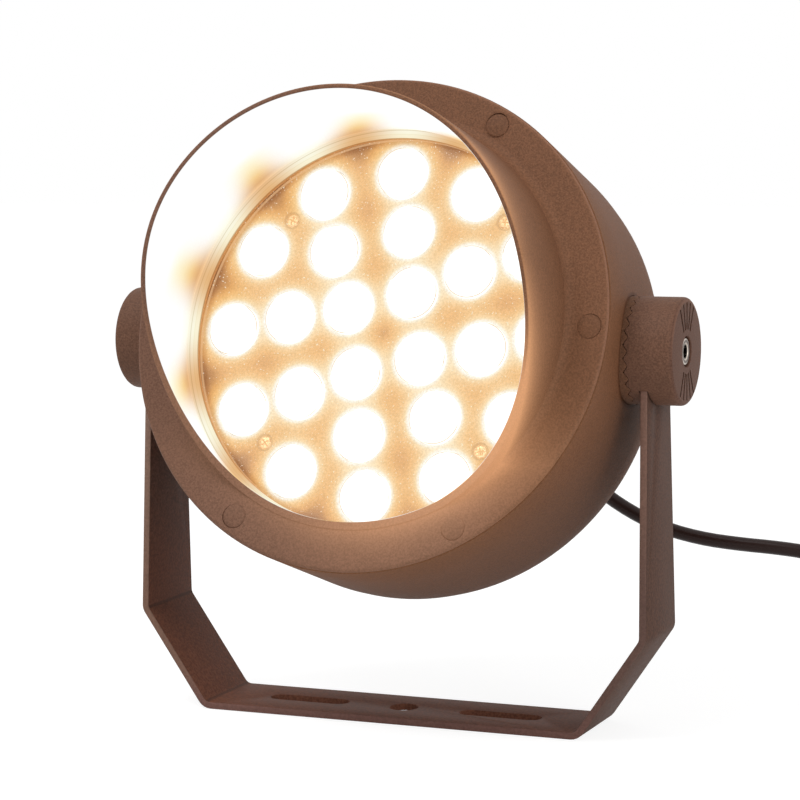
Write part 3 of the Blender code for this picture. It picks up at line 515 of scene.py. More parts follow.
def shaded_strip(coat, body, colour):
    """Painted light and shade: warmer low on the inner faces, darker on the outer ones, painted
    shade in the inner corner of each bend and a painted highlight on the cut edges."""
    x, y, z = coat.split(coat.here())
    across = abs(x)
    deep = 1.0
    for (corner_x, corner_z), (in_x, in_z) in zip(BENDS, RUN_INWARDS):
        deep = coat.least((across - corner_x) * in_x + (z - corner_z) * in_z, deep)
    inner = coat.step(deep, 0.0012, 0.0015)
    narrowing = coat.above((z - ELBOW_HEIGHT) / (PIVOT.z - ELBOW_HEIGHT))
    from_edge = (BASE_W - (BASE_W - ARM_W) * narrowing) / 2 - abs(y - PIVOT.y)
    # Painted highlight on the cut edges, brighter on the left and higher up.
    left = coat.below(x, -0.05, 0.05)
    low_pale = coat.mix(left, (1.08, 1.24, 1.45), (1.65, 1.9, 2.0))
    high_pale = coat.mix(left, (1.85, 2.1, 2.3), (2.0, 2.5, 2.7))
    pale = coat.mix(coat.step(z, 0.05, 0.11), low_pale, high_pale)
    pale = coat.mix(coat.step(z, 0.0, 0.02), (1.42, 1.47, 1.75), pale)
    edge_highlight = coat.tint(1.0, coat.mix(0.6, body, colour), pale)
    # Painted shade: warmer low on the inner faces, darker on the outer ones.
    body = coat.tint(inner * coat.below(z, 0.05, 0.1), body, (1.12, 0.86, 0.72))
    body = coat.tint(1 - inner, body, (0.8, 0.8, 0.79))
    # Painted shade in the inner corner of each bend.
    for (corner_x, corner_z), (along_x, along_z) in zip(BENDS, BEND_MIDDLES):
        out, rise = across - corner_x, z - corner_z
        off = abs(out * along_x + rise * along_z)
        inward = rise * along_x - out * along_z
        crease_shade = coat.below(off, 0.0003, 0.001) * coat.step(inward, 0.0016, 0.0022)
        body = coat.mix(crease_shade * 0.5, body, scaled(colour, 0.3))
    return coat.mix(coat.below(from_edge, 0.0001, 0.0004), body, edge_highlight)


def grooved_face(coat, body, colour):
    """A darker outer face on the knob, painted shade in its grooves and a painted highlight on its
    upper edge.
    """
    x, y, z = coat.split(coat.here())
    across = abs(x)
    up = z - PIVOT.z
    share = coat.length(y - PIVOT.y, up) / KNOB_R
    face = coat.step(across, KNOB_OUT - 0.0012, KNOB_OUT - 0.0004)
    body = coat.tint(face, body, (0.84, 0.82, 0.86))
    # Painted shade in the grooves.
    groove = coat.band(across, 0.1165, 0.1175, KNOB_OUT - 0.0003, KNOB_OUT - 0.00005)
    groove = groove * coat.band(share, 0.36, 0.38, 0.895, 0.905)
    body = coat.mix(groove * 0.75, body, scaled(colour, 0.25))
    # Painted highlight on the face's rounded edge, on its upper part only.
    rim_highlight = coat.band(share, 0.9, 0.925, 0.95, 0.98) * face * coat.step(up, -0.004, 0.008)
    return coat.mix(rim_highlight * 0.3, body, scaled(colour, 2.2))


# ---- Lit optics, metal and plastic


def lens_light(coat, radius, angle):
    """Light round a point, falling off from each lens's edge, and the way to the nearest middle."""
    light, nearest = 0, 1.0
    for ring, count, turn in LENS_RINGS:
        half = pi / count
        turned = coat.math("WRAP", angle - radians(turn), half, -half)
        for apart in (abs(turned), 2 * half - abs(turned)):
            reach = 2 * ring * radius * coat.math("COSINE", apart)
            away = (radius * radius + ring * ring - reach) ** 0.5
            light = light + coat.fading(away - 0.01, 310)
            nearest = coat.least(away, nearest)
    return light, nearest


def lit_panel():
    """Speckled panel in the lenses' glow, with painted shade at its edge, a painted highlight on
    its bead and a painted shade ring round each screw.
    """
    panel = Finish("lens_panel_lit", Specular_IOR_Level=0.1)
    x, _, z = panel.lamp_place()
    radius, angle = panel.length(x, z), panel.angle(x, z)
    light, nearest = lens_light(panel, radius, angle)
    glow = panel.ramp(light / 1.25, PANEL_GLOW)
    glow = panel.mix(panel.below(nearest, 0.0106, 0.0128), glow, (1.0, 0.98, 0.92))
    grain = panel.noise(1300, 3.0, 0.7)
    shade = panel.mix(panel.step(grain, 0.32, 0.68), (0.9, 0.87, 0.81), (1.06, 1.07, 1.1))
    lit = panel.tint(1.0, panel.tint(1.0, glow, panel.ramp(radius / PANEL_R, PANEL_DIM)), shade)
    # Painted highlight on the bead.
    bead = panel.band(radius, 0.0791, 0.0795, 0.08, 0.0804)
    lit = panel.mix(bead * 0.6, lit, linear(238, 192, 144))
    # Painted shade in a ring round each screw.
    eighth = pi / 4
    around = panel.math("WRAP", angle - eighth, eighth, -eighth)
    from_screw = panel.length(
        radius * panel.math("COSINE", around) - PANEL_SCREW_AT, radius * panel.math("SINE", around))
    ring = panel.band(from_screw, 0.0028, 0.003, 0.0033, 0.0038)
    lit = panel.mix(ring * 0.35, lit, linear(170, 122, 76))
    specks = panel.step(panel.noise(1500, 0.0), 0.74, 0.8)
    lit = panel.mix(specks * 0.7, lit, (1.0, 0.93, 0.76))
    panel.set(Base_Color=(*linear(56, 44, 36), 1), Roughness=0.45,
              Normal=panel.bump(grain, 0.0001, 0.3))
    panel.glow(lit)
    return panel.material


def lit_lens():
    """White light with a broken fine painted reflection just inside the edge."""
    lens = Finish("lens_lit", Roughness=0.08)
    x, _, z = lens.lamp_place()
    _, nearest = lens_light(lens, lens.length(x, z), lens.angle(x, z))
    broken = lens.step(lens.noise(70, 1.0), 0.46, 0.6)
    shown = lens.band(nearest, 0.0101, 0.0103, 0.0105, 0.01065) * broken * 0.7
    lens.set(Base_Color=lens.mix(shown, (0.5, 0.49, 0.46), (0.03, 0.02, 0.015)))
    lens.glow(lens.mix(shown, (1.0, 1.0, 0.98), linear(188, 148, 96)))
    return lens.material


def lit_seal():
    seal = Finish("silicone_seal_lit", Specular_IOR_Level=0.2)
    spots = seal.noise(500)
    tone = seal.mix(spots, linear(160, 110, 66), linear(186, 134, 84))
    seal.set(Base_Color=tone, Roughness=0.5 + spots * 0.1)
    seal.glow(tone, 0.7)
    return seal.material


def lit_screw():
    """Painted warm light on the panel's screws, with painted shade in their recesses."""
    screw = Finish("stainless_warm_lit", Metallic=0.4)
    _, forward, _ = screw.lamp_place()
    lines = screw.noise(1300, 2.0, 0.7)
    tone = screw.mix(screw.step(lines, 0.3, 0.7), linear(196, 146, 92), linear(250, 224, 176))
    tone = screw.mix(screw.step(forward, 0.016, 0.0168), linear(112, 72, 40), tone)
    screw.set(Base_Color=tone, Roughness=0.35 + lines * 0.2)
    screw.glow(tone, 0.75)
    return screw.material


def stainless(name, on_bolt=False):
    steel = Finish(name, Metallic=1.0)
    lines = steel.noise(420, 4.0, 0.7)
    tone = steel.mix(lines, (0.36, 0.33, 0.3), (0.56, 0.53, 0.48))
    if on_bolt:
        x, forward, z = steel.lamp_place()
        # Painted shade and highlights on the bolt's head, ring by ring.
        face = steel.ramp(steel.length(forward, z) / BOLT_HEAD_R, BOLT_RINGS)
        top = BOLT_SEAT + BOLT_HEAD_T
        tone = steel.mix(steel.step(abs(x), top - 0.0035, top - 0.003), tone, face)
    steel.set(Base_Color=tone, Roughness=0.26 + lines * 0.18,
              Normal=steel.bump(lines, 0.00005, 0.2))
    return steel.material


def two_tone(name, dark, light, grain, rough, strength, detail=2.0, clouds=None, depth=0.0001,
             **sockets):
    """A plain material of two close tones. rough is its least roughness and what the grain adds."""
    coat = Finish(name, **sockets)
    skin = coat.noise(grain, detail)
    tone = coat.mix(coat.noise(clouds) if clouds else skin, linear(*dark), linear(*light))
    least, more = rough
    coat.set(Base_Color=tone, Roughness=least + skin * more,
             Normal=coat.bump(skin, depth, strength))
    return coat.material


FINISH = {
    "coat": powder_coat("powder_coat", BROWN),
    "coat_housing": powder_coat("powder_coat_housing", BROWN_HOUSING, place=shaded_hub_seam),
    "coat_strip": powder_coat("powder_coat_strip", BROWN_STRIP, 0.66, shaded_strip, 0.26, 950),
    "coat_knob": powder_coat("powder_coat_knob", BROWN_KNOB, 0.6, grooved_face),
    "plug": powder_coat("plug_coat", BROWN_COVER, 0.6, spill_lit_plug),
    "cover": powder_coat("powder_coat_lit_hood", BROWN_COVER, place=lit_hood),
    "panel": lit_panel(),
    "lens": lit_lens(),
    "glass": Finish("clear_glass", Base_Color=(0.99, 1.0, 0.99, 1), Roughness=0.02, IOR=1.45,
                    Transmission_Weight=1.0).material,
    "seal": lit_seal(),
    "rubber": two_tone("cord_rubber", (36, 21, 18), (46, 28, 24), 700, (0.3, 0.12), 0.25,
                       clouds=40, Specular_IOR_Level=0.2),
    "nylon": two_tone("black_nylon", (38, 34, 33), (50, 45, 43), 900, (0.42, 0.16), 0.3,
                      clouds=60, Specular_IOR_Level=0.45),
    "steel": stainless("stainless_steel"),
    "steel_bolt": stainless("stainless_steel_bolt", on_bolt=True),
    "screw_lit": lit_screw(),
    "board": two_tone("solder_mask", (226, 222, 212), (240, 238, 230), 300, (0.4, 0.2), 0.2),
    "potting": two_tone("driver_potting", (96, 98, 102), (122, 124, 128), 180, (0.45, 0.2), 0.4,
                        detail=3.0, depth=0.0003),
}

# ---- Mesh helpers


def to_mesh(bm, name):
    mesh = bpy.data.meshes.new(name)
    bm.to_mesh(mesh)
    bm.free()
    return mesh


def piece(bm, name, finish, slot, body, *nodes, at=(0, 0, 0), angle=35):
    """Put a bmesh at its place as a smooth-shaded piece that rides on a body and stands for nodes
    of the part. What rides on the head is modelled in the lamp's own frame."""
    place = Matrix.Translation(at)
    bm.transform(HEAD @ place if body == "head" else place)
    bmesh.ops.remove_doubles(bm, verts=bm.verts, dist=1e-6)
    bmesh.ops.recalc_face_normals(bm, faces=bm.faces)
    mesh = to_mesh(bm, name)
    mesh.shade_smooth()
    mesh.set_sharp_from_angle(angle=radians(angle))
    mesh.materials.append(FINISH[finish])
    obj = linked(name, mesh)
    if body:
        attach(obj, body)
    if nodes:
        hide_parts(*nodes)
    return obj


def spun(outline, steps, axis=FORWARD, closed=False):
    """A bmesh spun from (along, radius) points: a ring, or a solid that is closed on the axis."""
    if not closed:
        outline = [(outline[0][0], 0), *outline, (outline[-1][0], 0)]
    bm = bmesh.new()
    side = Vector((0, 0, 1))
    verts = [bm.verts.new(axis * along + side * radius) for along, radius in outline]
    edges = [bm.edges.new(pair) for pair in zip(verts, verts[1:])]
    if closed:
        edges.append(bm.edges.new((verts[-1], verts[0])))
    bmesh.ops.spin(bm, geom=verts + edges, cent=(0, 0, 0), axis=axis, dvec=(0, 0, 0),
                   angle=tau, steps=steps, use_merge=True, use_duplicate=False)
    bmesh.ops.remove_doubles(bm, verts=bm.verts, dist=1e-7)
    bmesh.ops.recalc_face_normals(bm, faces=bm.faces)
    return bm


def quarter(steps):
    """Sine and cosine of the steps of a quarter turn."""
    return [(sin(pi / 2 * k / steps), cos(pi / 2 * k / steps)) for k in range(steps + 1)]


def rounded(along, radius, size, steps=3, facing=1):
    """Points round an outer edge, from the face to the side."""
    return [(along - facing * size * (1 - c), radius - size * (1 - s)) for s, c in quarter(steps)]


def bar(radius, start, end, centre=(0, 0, 0), axis=FORWARD, steps=32):
    """A round bar along an axis."""
    bm = bmesh.new()
    middle = Vector(centre) + axis * ((start + end) / 2)
    turn = axis.to_track_quat("Z", "Y").to_matrix().to_4x4()
    bmesh.ops.create_cone(bm, cap_ends=True, segments=steps, radius1=radius, radius2=radius,
                          depth=abs(end - start), matrix=Matrix.Translation(middle) @ turn)
    return bm


def block(low, high):
    bm = bmesh.new()
    low, high = Vector(low), Vector(high)
    place = Matrix.Translation((high + low) / 2) @ Matrix.Diagonal((*(high - low), 1))
    bmesh.ops.create_cube(bm, size=1, matrix=place)
    return bm


def bevel(bm, edges, size, segments, **settings):
    bmesh.ops.bevel(bm, geom=edges, offset=size, segments=segments, affect="EDGES", profile=0.5,
                    material=-1, **settings)


def join(bm, *others):
    """Add bmeshes to the first one."""
    for other in others:
        mesh = to_mesh(other, "joined")
        bm.from_mesh(mesh)
        bpy.data.meshes.remove(mesh)
    return bm


def final_shape(obj):
    """A bmesh of what an object's curve or modifiers make."""
    view = bpy.context.evaluated_depsgraph_get()
    mesh = bpy.data.meshes.new_from_object(obj.evaluated_get(view))
    bm = bmesh.new()
    bm.from_mesh(mesh)
    bpy.data.meshes.remove(mesh)
    return bm


def boolean(bm, cutters, operation="DIFFERENCE"):
    """Cut a bmesh with others, one exact Boolean for each, and give back the result."""
    objects = []
    for n, stock in enumerate([bm, *cutters]):
        bmesh.ops.recalc_face_normals(stock, faces=stock.faces)
        objects.append(linked(f"stock_{n}", to_mesh(stock, f"stock_{n}")))
    for tool in objects[1:]:
        mod = objects[0].modifiers.new("cut", "BOOLEAN")
        mod.operation = operation
        mod.solver = "EXACT"
        mod.object = tool
    result = final_shape(objects[0])
    for obj in objects:
        mesh = obj.data
        bpy.data.objects.remove(obj, do_unlink=True)
        bpy.data.meshes.remove(mesh)
    return result


def round_place(radius, angle):
    """Where an angle lies on a circle, as its two coordinates."""
    return radius * cos(angle), radius * sin(angle)


def on_ring(radius, turn):
    """A point in the lamp's own frame, round its axis."""
    across, up = round_place(radius, radians(turn))
    return Vector((across, 0, up))


# ---- Lead, coil and connector

CORD_ROUTE = [
    (0.0015, 0.103, 0.1162), (0.0055, 0.111, 0.1115), (0.012, 0.1185, 0.1045),
    (0.021, 0.1245, 0.0955), (0.0315, 0.1285, 0.085), (0.0435, 0.131, 0.0745),
    (0.057, 0.132, 0.0663), (0.072, 0.1323, 0.0603), (0.088, 0.1325, 0.0569),
    (0.104, 0.133, 0.0553), (0.12, 0.134, 0.0543), (0.134, 0.1355, 0.0526),
    (0.147, 0.1372, 0.0486), (0.159, 0.139, 0.042), (0.1695, 0.1406, 0.033),
    (0.1775, 0.1418, 0.0232), (0.185, 0.1427, 0.0142), (0.193, 0.1433, 0.008),
    (0.202, 0.1435, 0.0046), (0.211, 0.1435, 0.0034), (0.221, 0.1435, 0.0031),
]


def on_axis(forward):
    """A point on the lamp's axis, from the stand's middle."""
    return Vector((0, -forward * cos(TILT), PIVOT.z + forward * sin(TILT)))


def ease(share):
    share = max(0.0, min(1.0, share))
    return share * share * (3 - 2 * share)


def coil_route():
    """The coil's turns, each with its step up, and the tail that runs to the connector."""
    points = []
    for k in range(round(COIL_TURNS * COIL_POINTS) + 1):
        turn = k / COIL_POINTS
        level = int(turn) + ease((turn % 1 - CROSS_FROM) / CROSS_SHARE)
        x, y = round_place(COIL_R, radians(90 - 360 * turn))
        points.append(COIL_MIDDLE + Vector((x, y, CORD_R + COIL_RISE * level)))
    start = points[-1]
    for k in range(1, TAIL_STEPS + 1):
        share = k / TAIL_STEPS
        points.append(start.lerp(CONNECTOR, ease(share)))
        points[-1].y = start.y + (CONNECTOR.y - start.y) * share
    return points


def eased_line(points, parts=3):
    """More points on a smooth curve through the given ones."""
    out = []
    last = len(points) - 1
    for k in range(last):
        a, b, c, d = (points[max(0, min(last, k + n))] for n in (-1, 0, 1, 2))
        for m in range(parts):
            t = m / parts
            out.append(0.5 * (2 * b + (c - a) * t + (2 * a - 5 * b + 4 * c - d) * t ** 2
                              + (3 * b - a - 3 * c + d) * t ** 3))
    return out + [points[-1]]


def make_cord():
    """The whole lead as one tube between the head and the stand."""
    free = [on_axis(BACK), on_axis((BACK + NUT_END) / 2), on_axis(NUT_END),
            on_axis(NUT_END - 2 * CORD_R)] + [Vector(p) for p in CORD_ROUTE]
    turns = coil_route()
    free.append(turns[0] + (turns[0] - turns[1]).normalized() * 3 * GAP)
    line = [place + STAND for place in eased_line(free) + turns[1:]]
    curve = bpy.data.curves.new("cord_line", "CURVE")
    curve.dimensions = "3D"
    curve.bevel_depth = CORD_R
    curve.bevel_resolution = 4
    curve.use_fill_caps = True
    spline = curve.splines.new("POLY")
    spline.points.add(len(line) - 1)
    for point, place in zip(spline.points, line):
        point.co = (*place, 1)
    shape = linked("cord_line", curve)
    tube = final_shape(shape)
    bpy.data.objects.remove(shape, do_unlink=True)
    bpy.data.curves.remove(curve)
    obj = piece(tube, "rubber_cord", "rubber", "rubber", None, "cord", "cord_coil", angle=60)
    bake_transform(obj)
    return obj, [tuple(place) for place in line]


def make_tie():
    """Flat strap that holds the turns together, with its square lock."""
    width, wall = 0.0046, 0.001
    lock_half, lock_lip = 0.0034, 0.0008
    high = 4 * COIL_RISE
    bm = bmesh.new()
    bmesh.ops.create_circle(bm, segments=32, radius=CORD_R + wall)
    rim = bm.edges[:]
    for v in bm.verts:
        v.co.y += high - 2 * CORD_R + 0.0002 if v.co.y > 0 else 0
    grown = bmesh.ops.extrude_edge_only(bm, edges=rim)
    for v in grown["geom"]:
        if isinstance(v, bmesh.types.BMVert):
            v.co.z += width
    bmesh.ops.recalc_face_normals(bm, faces=bm.faces)
    bmesh.ops.solidify(bm, geom=bm.faces[:], thickness=wall)
    lock = block((-lock_half, high - 0.0012, -lock_lip),
                 (lock_half, high + 0.0022, width + lock_lip))
    bevel(lock, lock.edges[:], 0.0005, 2)
    join(bm, lock)
    upright = Matrix(((1, 0, 0), (0, 0, -1), (0, 1, 0))).to_4x4()
    turn = radians(45)
    middle = COIL_MIDDLE + STAND + Vector((*round_place(COIL_R, turn), CORD_R + wall))
    bm.transform(Matrix.Translation(middle) @ Matrix.Rotation(turn, 4, "Z") @ upright
                 @ Matrix.Translation((0, 0, -width / 2)))
    return piece(bm, "cord_tie", "nylon", "black_nylon", "stand")


def make_connector():
    """Waterproof plug: tapered tail, ribbed nut, grooved body and three pins in its mouth."""
    tail, nut, body = 0.008, 0.014, 0.03
    body_r, nut_r, wall = 0.0085, 0.0105, 0.002
    nut_round, nose_round, groove_depth = 0.0007, 0.0006, 0.0005
    ribs, rib_depth = 24, 0.022
    pin_r, pin_at, pin_l = 0.0011, 0.0036, 0.009
    nut_end = tail + nut
    nose = nut_end + body
    groove = nut_end + 0.006
    floor = nose - body / 2
    outline = [
        (GAP, CORD_R + 2 * GAP), (0.003, CORD_R + 0.0012), (tail, body_r),
        (tail, nut_r - nut_round), (tail + nut_round, nut_r), (nut_end - nut_round, nut_r),
        (nut_end, nut_r - nut_round), (nut_end, body_r), (groove, body_r),
        (groove + 0.0003, body_r - groove_depth), (groove + 0.0023, body_r - groove_depth),
        (groove + 0.0026, body_r), (nose - nose_round, body_r), (nose, body_r - nose_round),
        (nose, body_r - wall), (floor, body_r - wall)]
    bm = spun(outline, 96)
    for v in bm.verts:
        out = hypot(v.co.x, v.co.z)
        if tail + 0.0005 < -v.co.y < nut_end - 0.0005 and out > body_r + 0.001:
            wave = cos(ribs * atan2(v.co.z, v.co.x))
            v.co.x *= 1 - rib_depth * (1 + wave)
            v.co.z *= 1 - rib_depth * (1 + wave)
    for k in range(3):
        join(bm, bar(pin_r, floor - 0.001, floor + pin_l, on_ring(pin_at, 90 + 120 * k), steps=20))
    return piece(bm, "connector_plug", "nylon", "rubber", "stand", "connector",
                 at=CONNECTOR + STAND)


cord, cord_line = make_cord()
tie = make_tie()
connector = make_connector()

# ---- Front cover with its slanted hood


def rim_height(a):
    """How far the rim stands above the front face, at an angle up from the right."""
    slant = RIM_MEAN + RIM_LEAN * sin(a)
    upper = (slant + RIM_TOP - hypot(slant - RIM_TOP, RIM_SOFT)) / 2
    level = (upper + RIM_LOW + hypot(upper - RIM_LOW, RIM_SOFT)) / 2
    return max(level, HOOD_LEAST)


def hood_inner(forward):
    ahead = forward - COVER_FACE
    flare = HOOD_FLARE * (ahead / (COVER_FACE - LIP_FRONT)) ** 2 if ahead < 0 else 0
    return HOOD_R - HOOD_TAPER * ahead + flare


def hood_wall(forward):
    return HOOD_RIM_T + (HOOD_ROOT_T - HOOD_RIM_T) * (1 - (forward - COVER_FACE) / RIM_TOP)


def plug_place(k):
    return on_ring(PLUG_AT, 360 * k / PLUG_COUNT)


def cover_outline():
    """The cover's section, with the hood as high all round as it is at the top."""
    lip_back = LIP_FRONT - LIP_T
    outline = [(lip_back, LIP_R), (LIP_FRONT - LIP_ROUND, LIP_R), (LIP_FRONT, LIP_R + LIP_ROUND)]
    inside = [LIP_FRONT + (COVER_FACE - LIP_FRONT) * k / 6 for k in range(7)]
    inside += [COVER_FACE + RIM_TOP * share for share in HOOD_SHARES]
    outline += [(forward, hood_inner(forward)) for forward in inside]
    top = COVER_FACE + RIM_TOP
    inner = hood_inner(top)
    outline += [(f, 2 * inner - r) for f, r in reversed(rounded(top, inner, RIM_ROUND))]
    outline += rounded(top, inner + hood_wall(top), RIM_ROUND)
    for share in reversed((0.06, *HOOD_SHARES)):
        forward = COVER_FACE + RIM_TOP * share
        outline.append((forward, hood_inner(forward) + hood_wall(forward)))
    foot_r = hood_inner(COVER_FACE) + HOOD_ROOT_T
    outline += [(COVER_FACE + HOOD_FOOT_H * (1 - s), foot_r + (HOOD_ROOT_R - foot_r) * (1 - c))
                for s, c in quarter(4)]
    outline += rounded(COVER_FACE + COVER_DISH, COVER_R, COVER_ROUND, 5)
    seam = MOUTH + GAP
    return outline + [
        (seam + SEAM_CHAMFER, COVER_R), (seam, COVER_R - SEAM_CHAMFER), (seam, SPIGOT_R),
        (COVER_BACK, SPIGOT_R), (COVER_BACK, SKIRT_R), (SKIRT_END, SKIRT_R),
        (SKIRT_END, GLASS_POCKET_R), (lip_back, GLASS_POCKET_R)]


def make_cover():
    """Spin the section, bring the hood down to its slanted rim, and cut the seats of the plugs."""
    bm = spun(cover_outline(), 224, closed=True)
    for v in bm.verts:
        forward, radius = -v.co.y, hypot(v.co.x, v.co.z)
        ahead = forward - COVER_FACE
        if ahead <= 1e-6 or radius > HOOD_ROOT_R - 1e-4:
            continue
        lowered = COVER_FACE + ahead * rim_height(atan2(v.co.z, v.co.x)) / RIM_TOP
        shift = hood_inner(lowered) - hood_inner(forward)
        if radius > hood_inner(forward) + hood_wall(forward) / 2:
            shift += hood_wall(lowered) - hood_wall(forward)
        v.co.x *= (radius + shift) / radius
        v.co.z *= (radius + shift) / radius
        v.co.y = -lowered
    above = COVER_FACE + COVER_DISH + OVERRUN
    holes = [bar(PLUG_R + GAP, PLUG_SEAT, above, plug_place(k), steps=40)
             for k in range(PLUG_COUNT)]
    bm = boolean(bm, [join(*holes)])
    piece(bm, "cover_casting", "cover", "cast_shell", "head", "front_cover", angle=32)


def make_plugs():
    """Flush plugs over the cover's screws."""
    flat = COVER_R - COVER_ROUND - HOOD_ROOT_R
    top = COVER_FACE + COVER_DISH * (PLUG_AT - HOOD_ROOT_R) / flat
    flange = PLUG_R + GAP - PLUG_SEAM
    for k in range(PLUG_COUNT):
        bm = spun([(top - PLUG_T, PLUG_R), (top - 0.0009, flange), (top - 0.00025, flange),
                   *reversed(rounded(top, PLUG_R, 0.0002))], 48)
        piece(bm, f"cover_plug_{k + 1}", "plug", "knob_plastic", "head", f"screw_plug_{k + 1}",
              at=plug_place(k))


make_cover()
make_plugs()

# ---- Housing with its fins


def fin_slots(far):
    """Cutters between the fins, rounded at their roots; the middle ones spare the gland's land."""
    slots = []
    for k in range(-FIN_PAIRS, FIN_PAIRS + 1):
        x = k * FIN_PITCH
        low, high = x - FIN_SLOT / 2, x + FIN_SLOT / 2
        spans = [(-far, far)]
        if abs(x) - FIN_SLOT / 2 < BOSS_HALF:
            spans = [(-far, -BOSS_HALF), (BOSS_HALF, far)]
        for bottom, top in spans:
            slot = block((low, -FIN_FLOOR, bottom), (high, -BACK + OVERRUN, top))
            roots = [e for e in slot.edges
                     if all(abs(v.co.y + FIN_FLOOR) < 1e-6 for v in e.verts)
                     and abs(e.verts[0].co.x - e.verts[1].co.x) < 1e-6]
            bevel(slot, roots, FIN_ROOT, 3)
            slots.append(slot)
    return slots


def make_housing():
    fit_r = SPIGOT_R + GAP
    outline = [(MOUTH - GAP, fit_r), (MOUTH, fit_r + GAP)]
    outline += rounded(MOUTH, HOUSING_R, MOUTH_ROUND)
    outline += [(0.012, HOUSING_R), (-0.008, HOUSING_R)]
    outline += [(SIDE_BACK - (SIDE_BACK - BACK) * s, BACK_R + (HOUSING_R - BACK_R) * c)
                for s, c in quarter(12)]
    outline += [
        (BACK, GLAND_R + GAP), (GLAND_LAND, GLAND_R + GAP), (GLAND_LAND, GLAND_POCKET_R),
        (WELL_BACK, GLAND_POCKET_R), (WELL_BACK, WELL_R - WELL_CHAMFER),
        (WELL_BACK + WELL_CHAMFER, WELL_R), (LEDGE, WELL_R), (LEDGE, CAVITY_R),
        (SEAT - SEAT_T - (CAVITY_R - SEAT_R), CAVITY_R), (SEAT - SEAT_T, SEAT_R), (SEAT, SEAT_R),
        (SEAT, fit_r)]
    far = HOUSING_R + OVERRUN
    cutters = fin_slots(far)
    for side in (-1, 1):
        axis = Vector((side, 0, 0))
        cutters.append(bar(KNOB_R + GAP, HUB_FOOT, far, axis=axis, steps=72))
        cutters.append(bar(BOLT_R + GAP, BOLT_HOLE_END, HUB_FOOT + GAP, axis=axis, steps=24))
    bm = boolean(spun(outline, 160, closed=True), [join(*cutters)])
    piece(bm, "housing_casting", "coat_housing", "cast_shell", "head", "housing", angle=32)


make_housing()

# ---- Glass, seals, panel and lenses


def lens_places():
    for ring, count, turn in LENS_RINGS:
        for k in range(count):
            yield on_ring(ring, turn + 360 * k / count)


def make_glass():
    """The front glass and the seal between it and the cover's lip."""
    outer = GLASS_POCKET_R - GAP
    bm = spun([*rounded(GLASS_BACK, outer, GLASS_CHAMFER, 1, facing=-1),
               *reversed(rounded(GLASS_FRONT, outer, GLASS_CHAMFER, 1))], 160)
    piece(bm, "front_glass", "glass", "glass", "head", "glass")
    back, front = GLASS_FRONT + GAP, LIP_FRONT - LIP_T - GAP
    bm = spun([(back, LIP_R), (back, outer), (front, outer), (front, LIP_R)], 160, closed=True)
    piece(bm, "glass_seal", "seal", "rubber", "head", "glass_gasket")


def make_panel():
    """Panel with a bead near its edge, and countersinks round its lenses and screws."""
    back = PANEL_FRONT - PANEL_T
    bead = [(PANEL_FRONT + height, radius) for height, radius in PANEL_BEAD]
    bm = spun([(back, PANEL_R), (PANEL_FRONT - PANEL_EDGE, PANEL_R),
               (PANEL_FRONT, PANEL_R - PANEL_EDGE), *bead], 160)
    hole = LENS_R + GAP
    holes = []
    for place in lens_places():
        own = spun([(back - OVERRUN, hole), (PANEL_FRONT - 0.0003, hole),
                    (PANEL_FRONT + 0.0007, hole + 0.001)], 40)
        own.transform(Matrix.Translation(place))
        holes.append(own)
    for k in range(4):
        place = on_ring(PANEL_SCREW_AT, 45 + 90 * k)
        holes.append(bar(PANEL_SCREW_HOLE_R, PANEL_FRONT - 0.0008, PANEL_FRONT + OVERRUN, place,
                         steps=24))
    piece(boolean(bm, [join(*holes)]), "lens_plate", "panel", "panel", "head", "lens_panel")


def make_lenses():
    """Collimators: a clear cone up to a disc with a fine ring inside its edge."""
    sunk = LENS_FRONT - 0.0003
    for n, place in enumerate(lens_places(), 1):
        bm = spun([
            (LENS_BACK, LENS_BACK_R), (LENS_FRONT - LENS_BAND, LENS_R),
            *reversed(rounded(LENS_FRONT, LENS_R, 0.0003, 2)), (LENS_FRONT, LENS_R - 0.0008),
            (sunk, LENS_R - 0.001), (sunk, LENS_R - 0.0016), (LENS_FRONT, LENS_R - 0.0018)], 40)
        piece(bm, f"lens_optic_{n:02d}", "lens", "lens", "head", f"lens_{n:02d}", at=place)


def make_panel_screws():
    """Pan heads with a cross recess."""
    top = PANEL_FRONT - 0.0002
    long, half, deep = 0.0016, 0.00035, 0.0012
    for k in range(4):
        bm = spun([(PANEL_SCREW_END, PANEL_SCREW_R), (top - 0.002, PANEL_SCREW_R),
                   (top - 0.002, PANEL_SCREW_HEAD_R), (top - 0.0009, PANEL_SCREW_HEAD_R),
                   (top - 0.0003, 0.0022), (top, 0.001)], 32)
        cross = block((-long, -top - 0.001, -half), (long, -top + deep, half))
        other = block((-half, -top - 0.001, -long), (half, -top + deep, long))
        bm = boolean(bm, [cross, other])
        bm.transform(Matrix.Rotation(radians(25 * k), 4, "Y"))
        piece(bm, f"panel_screw_head_{k + 1}", "screw_lit", "stainless", "head",
              f"panel_screw_{k + 1}", at=on_ring(PANEL_SCREW_AT, 45 + 90 * k))


make_glass()
make_panel()
make_lenses()
make_panel_screws()

# ---- Hubs, knobs and clamp bolts


def toothed(bm, side, phase, face):
    """Raise and lower the vertices of a spun face into teeth."""
    for v in bm.verts:
        radius = hypot(v.co.y, v.co.z)
        if abs(abs(v.co.x) - face) < 1e-6 and radius > 1e-5:
            a = degrees(atan2(v.co.z, -v.co.y)) - phase
            share = (a * TOOTH_COUNT / 360) % 1
            height = 4 * abs(share - 0.5) - 1
            v.co.x = side * (face + height * TOOTH_H / 2 * radius / KNOB_R)


def make_hub(side, word):
    face, hole, foot = TEETH_AT - GAP / 2, BOLT_R + GAP, HUB_FOOT + GAP
    bm = spun([(foot, hole), (foot, KNOB_R - GAP), (foot + GAP, KNOB_R), (face, KNOB_R),
               (face, hole)], 144, Vector((side, 0, 0)), closed=True)
    toothed(bm, side, 0, face)
    piece(bm, f"tooth_hub_{word}", "coat", "cast_shell", "head", f"hub_{word}")


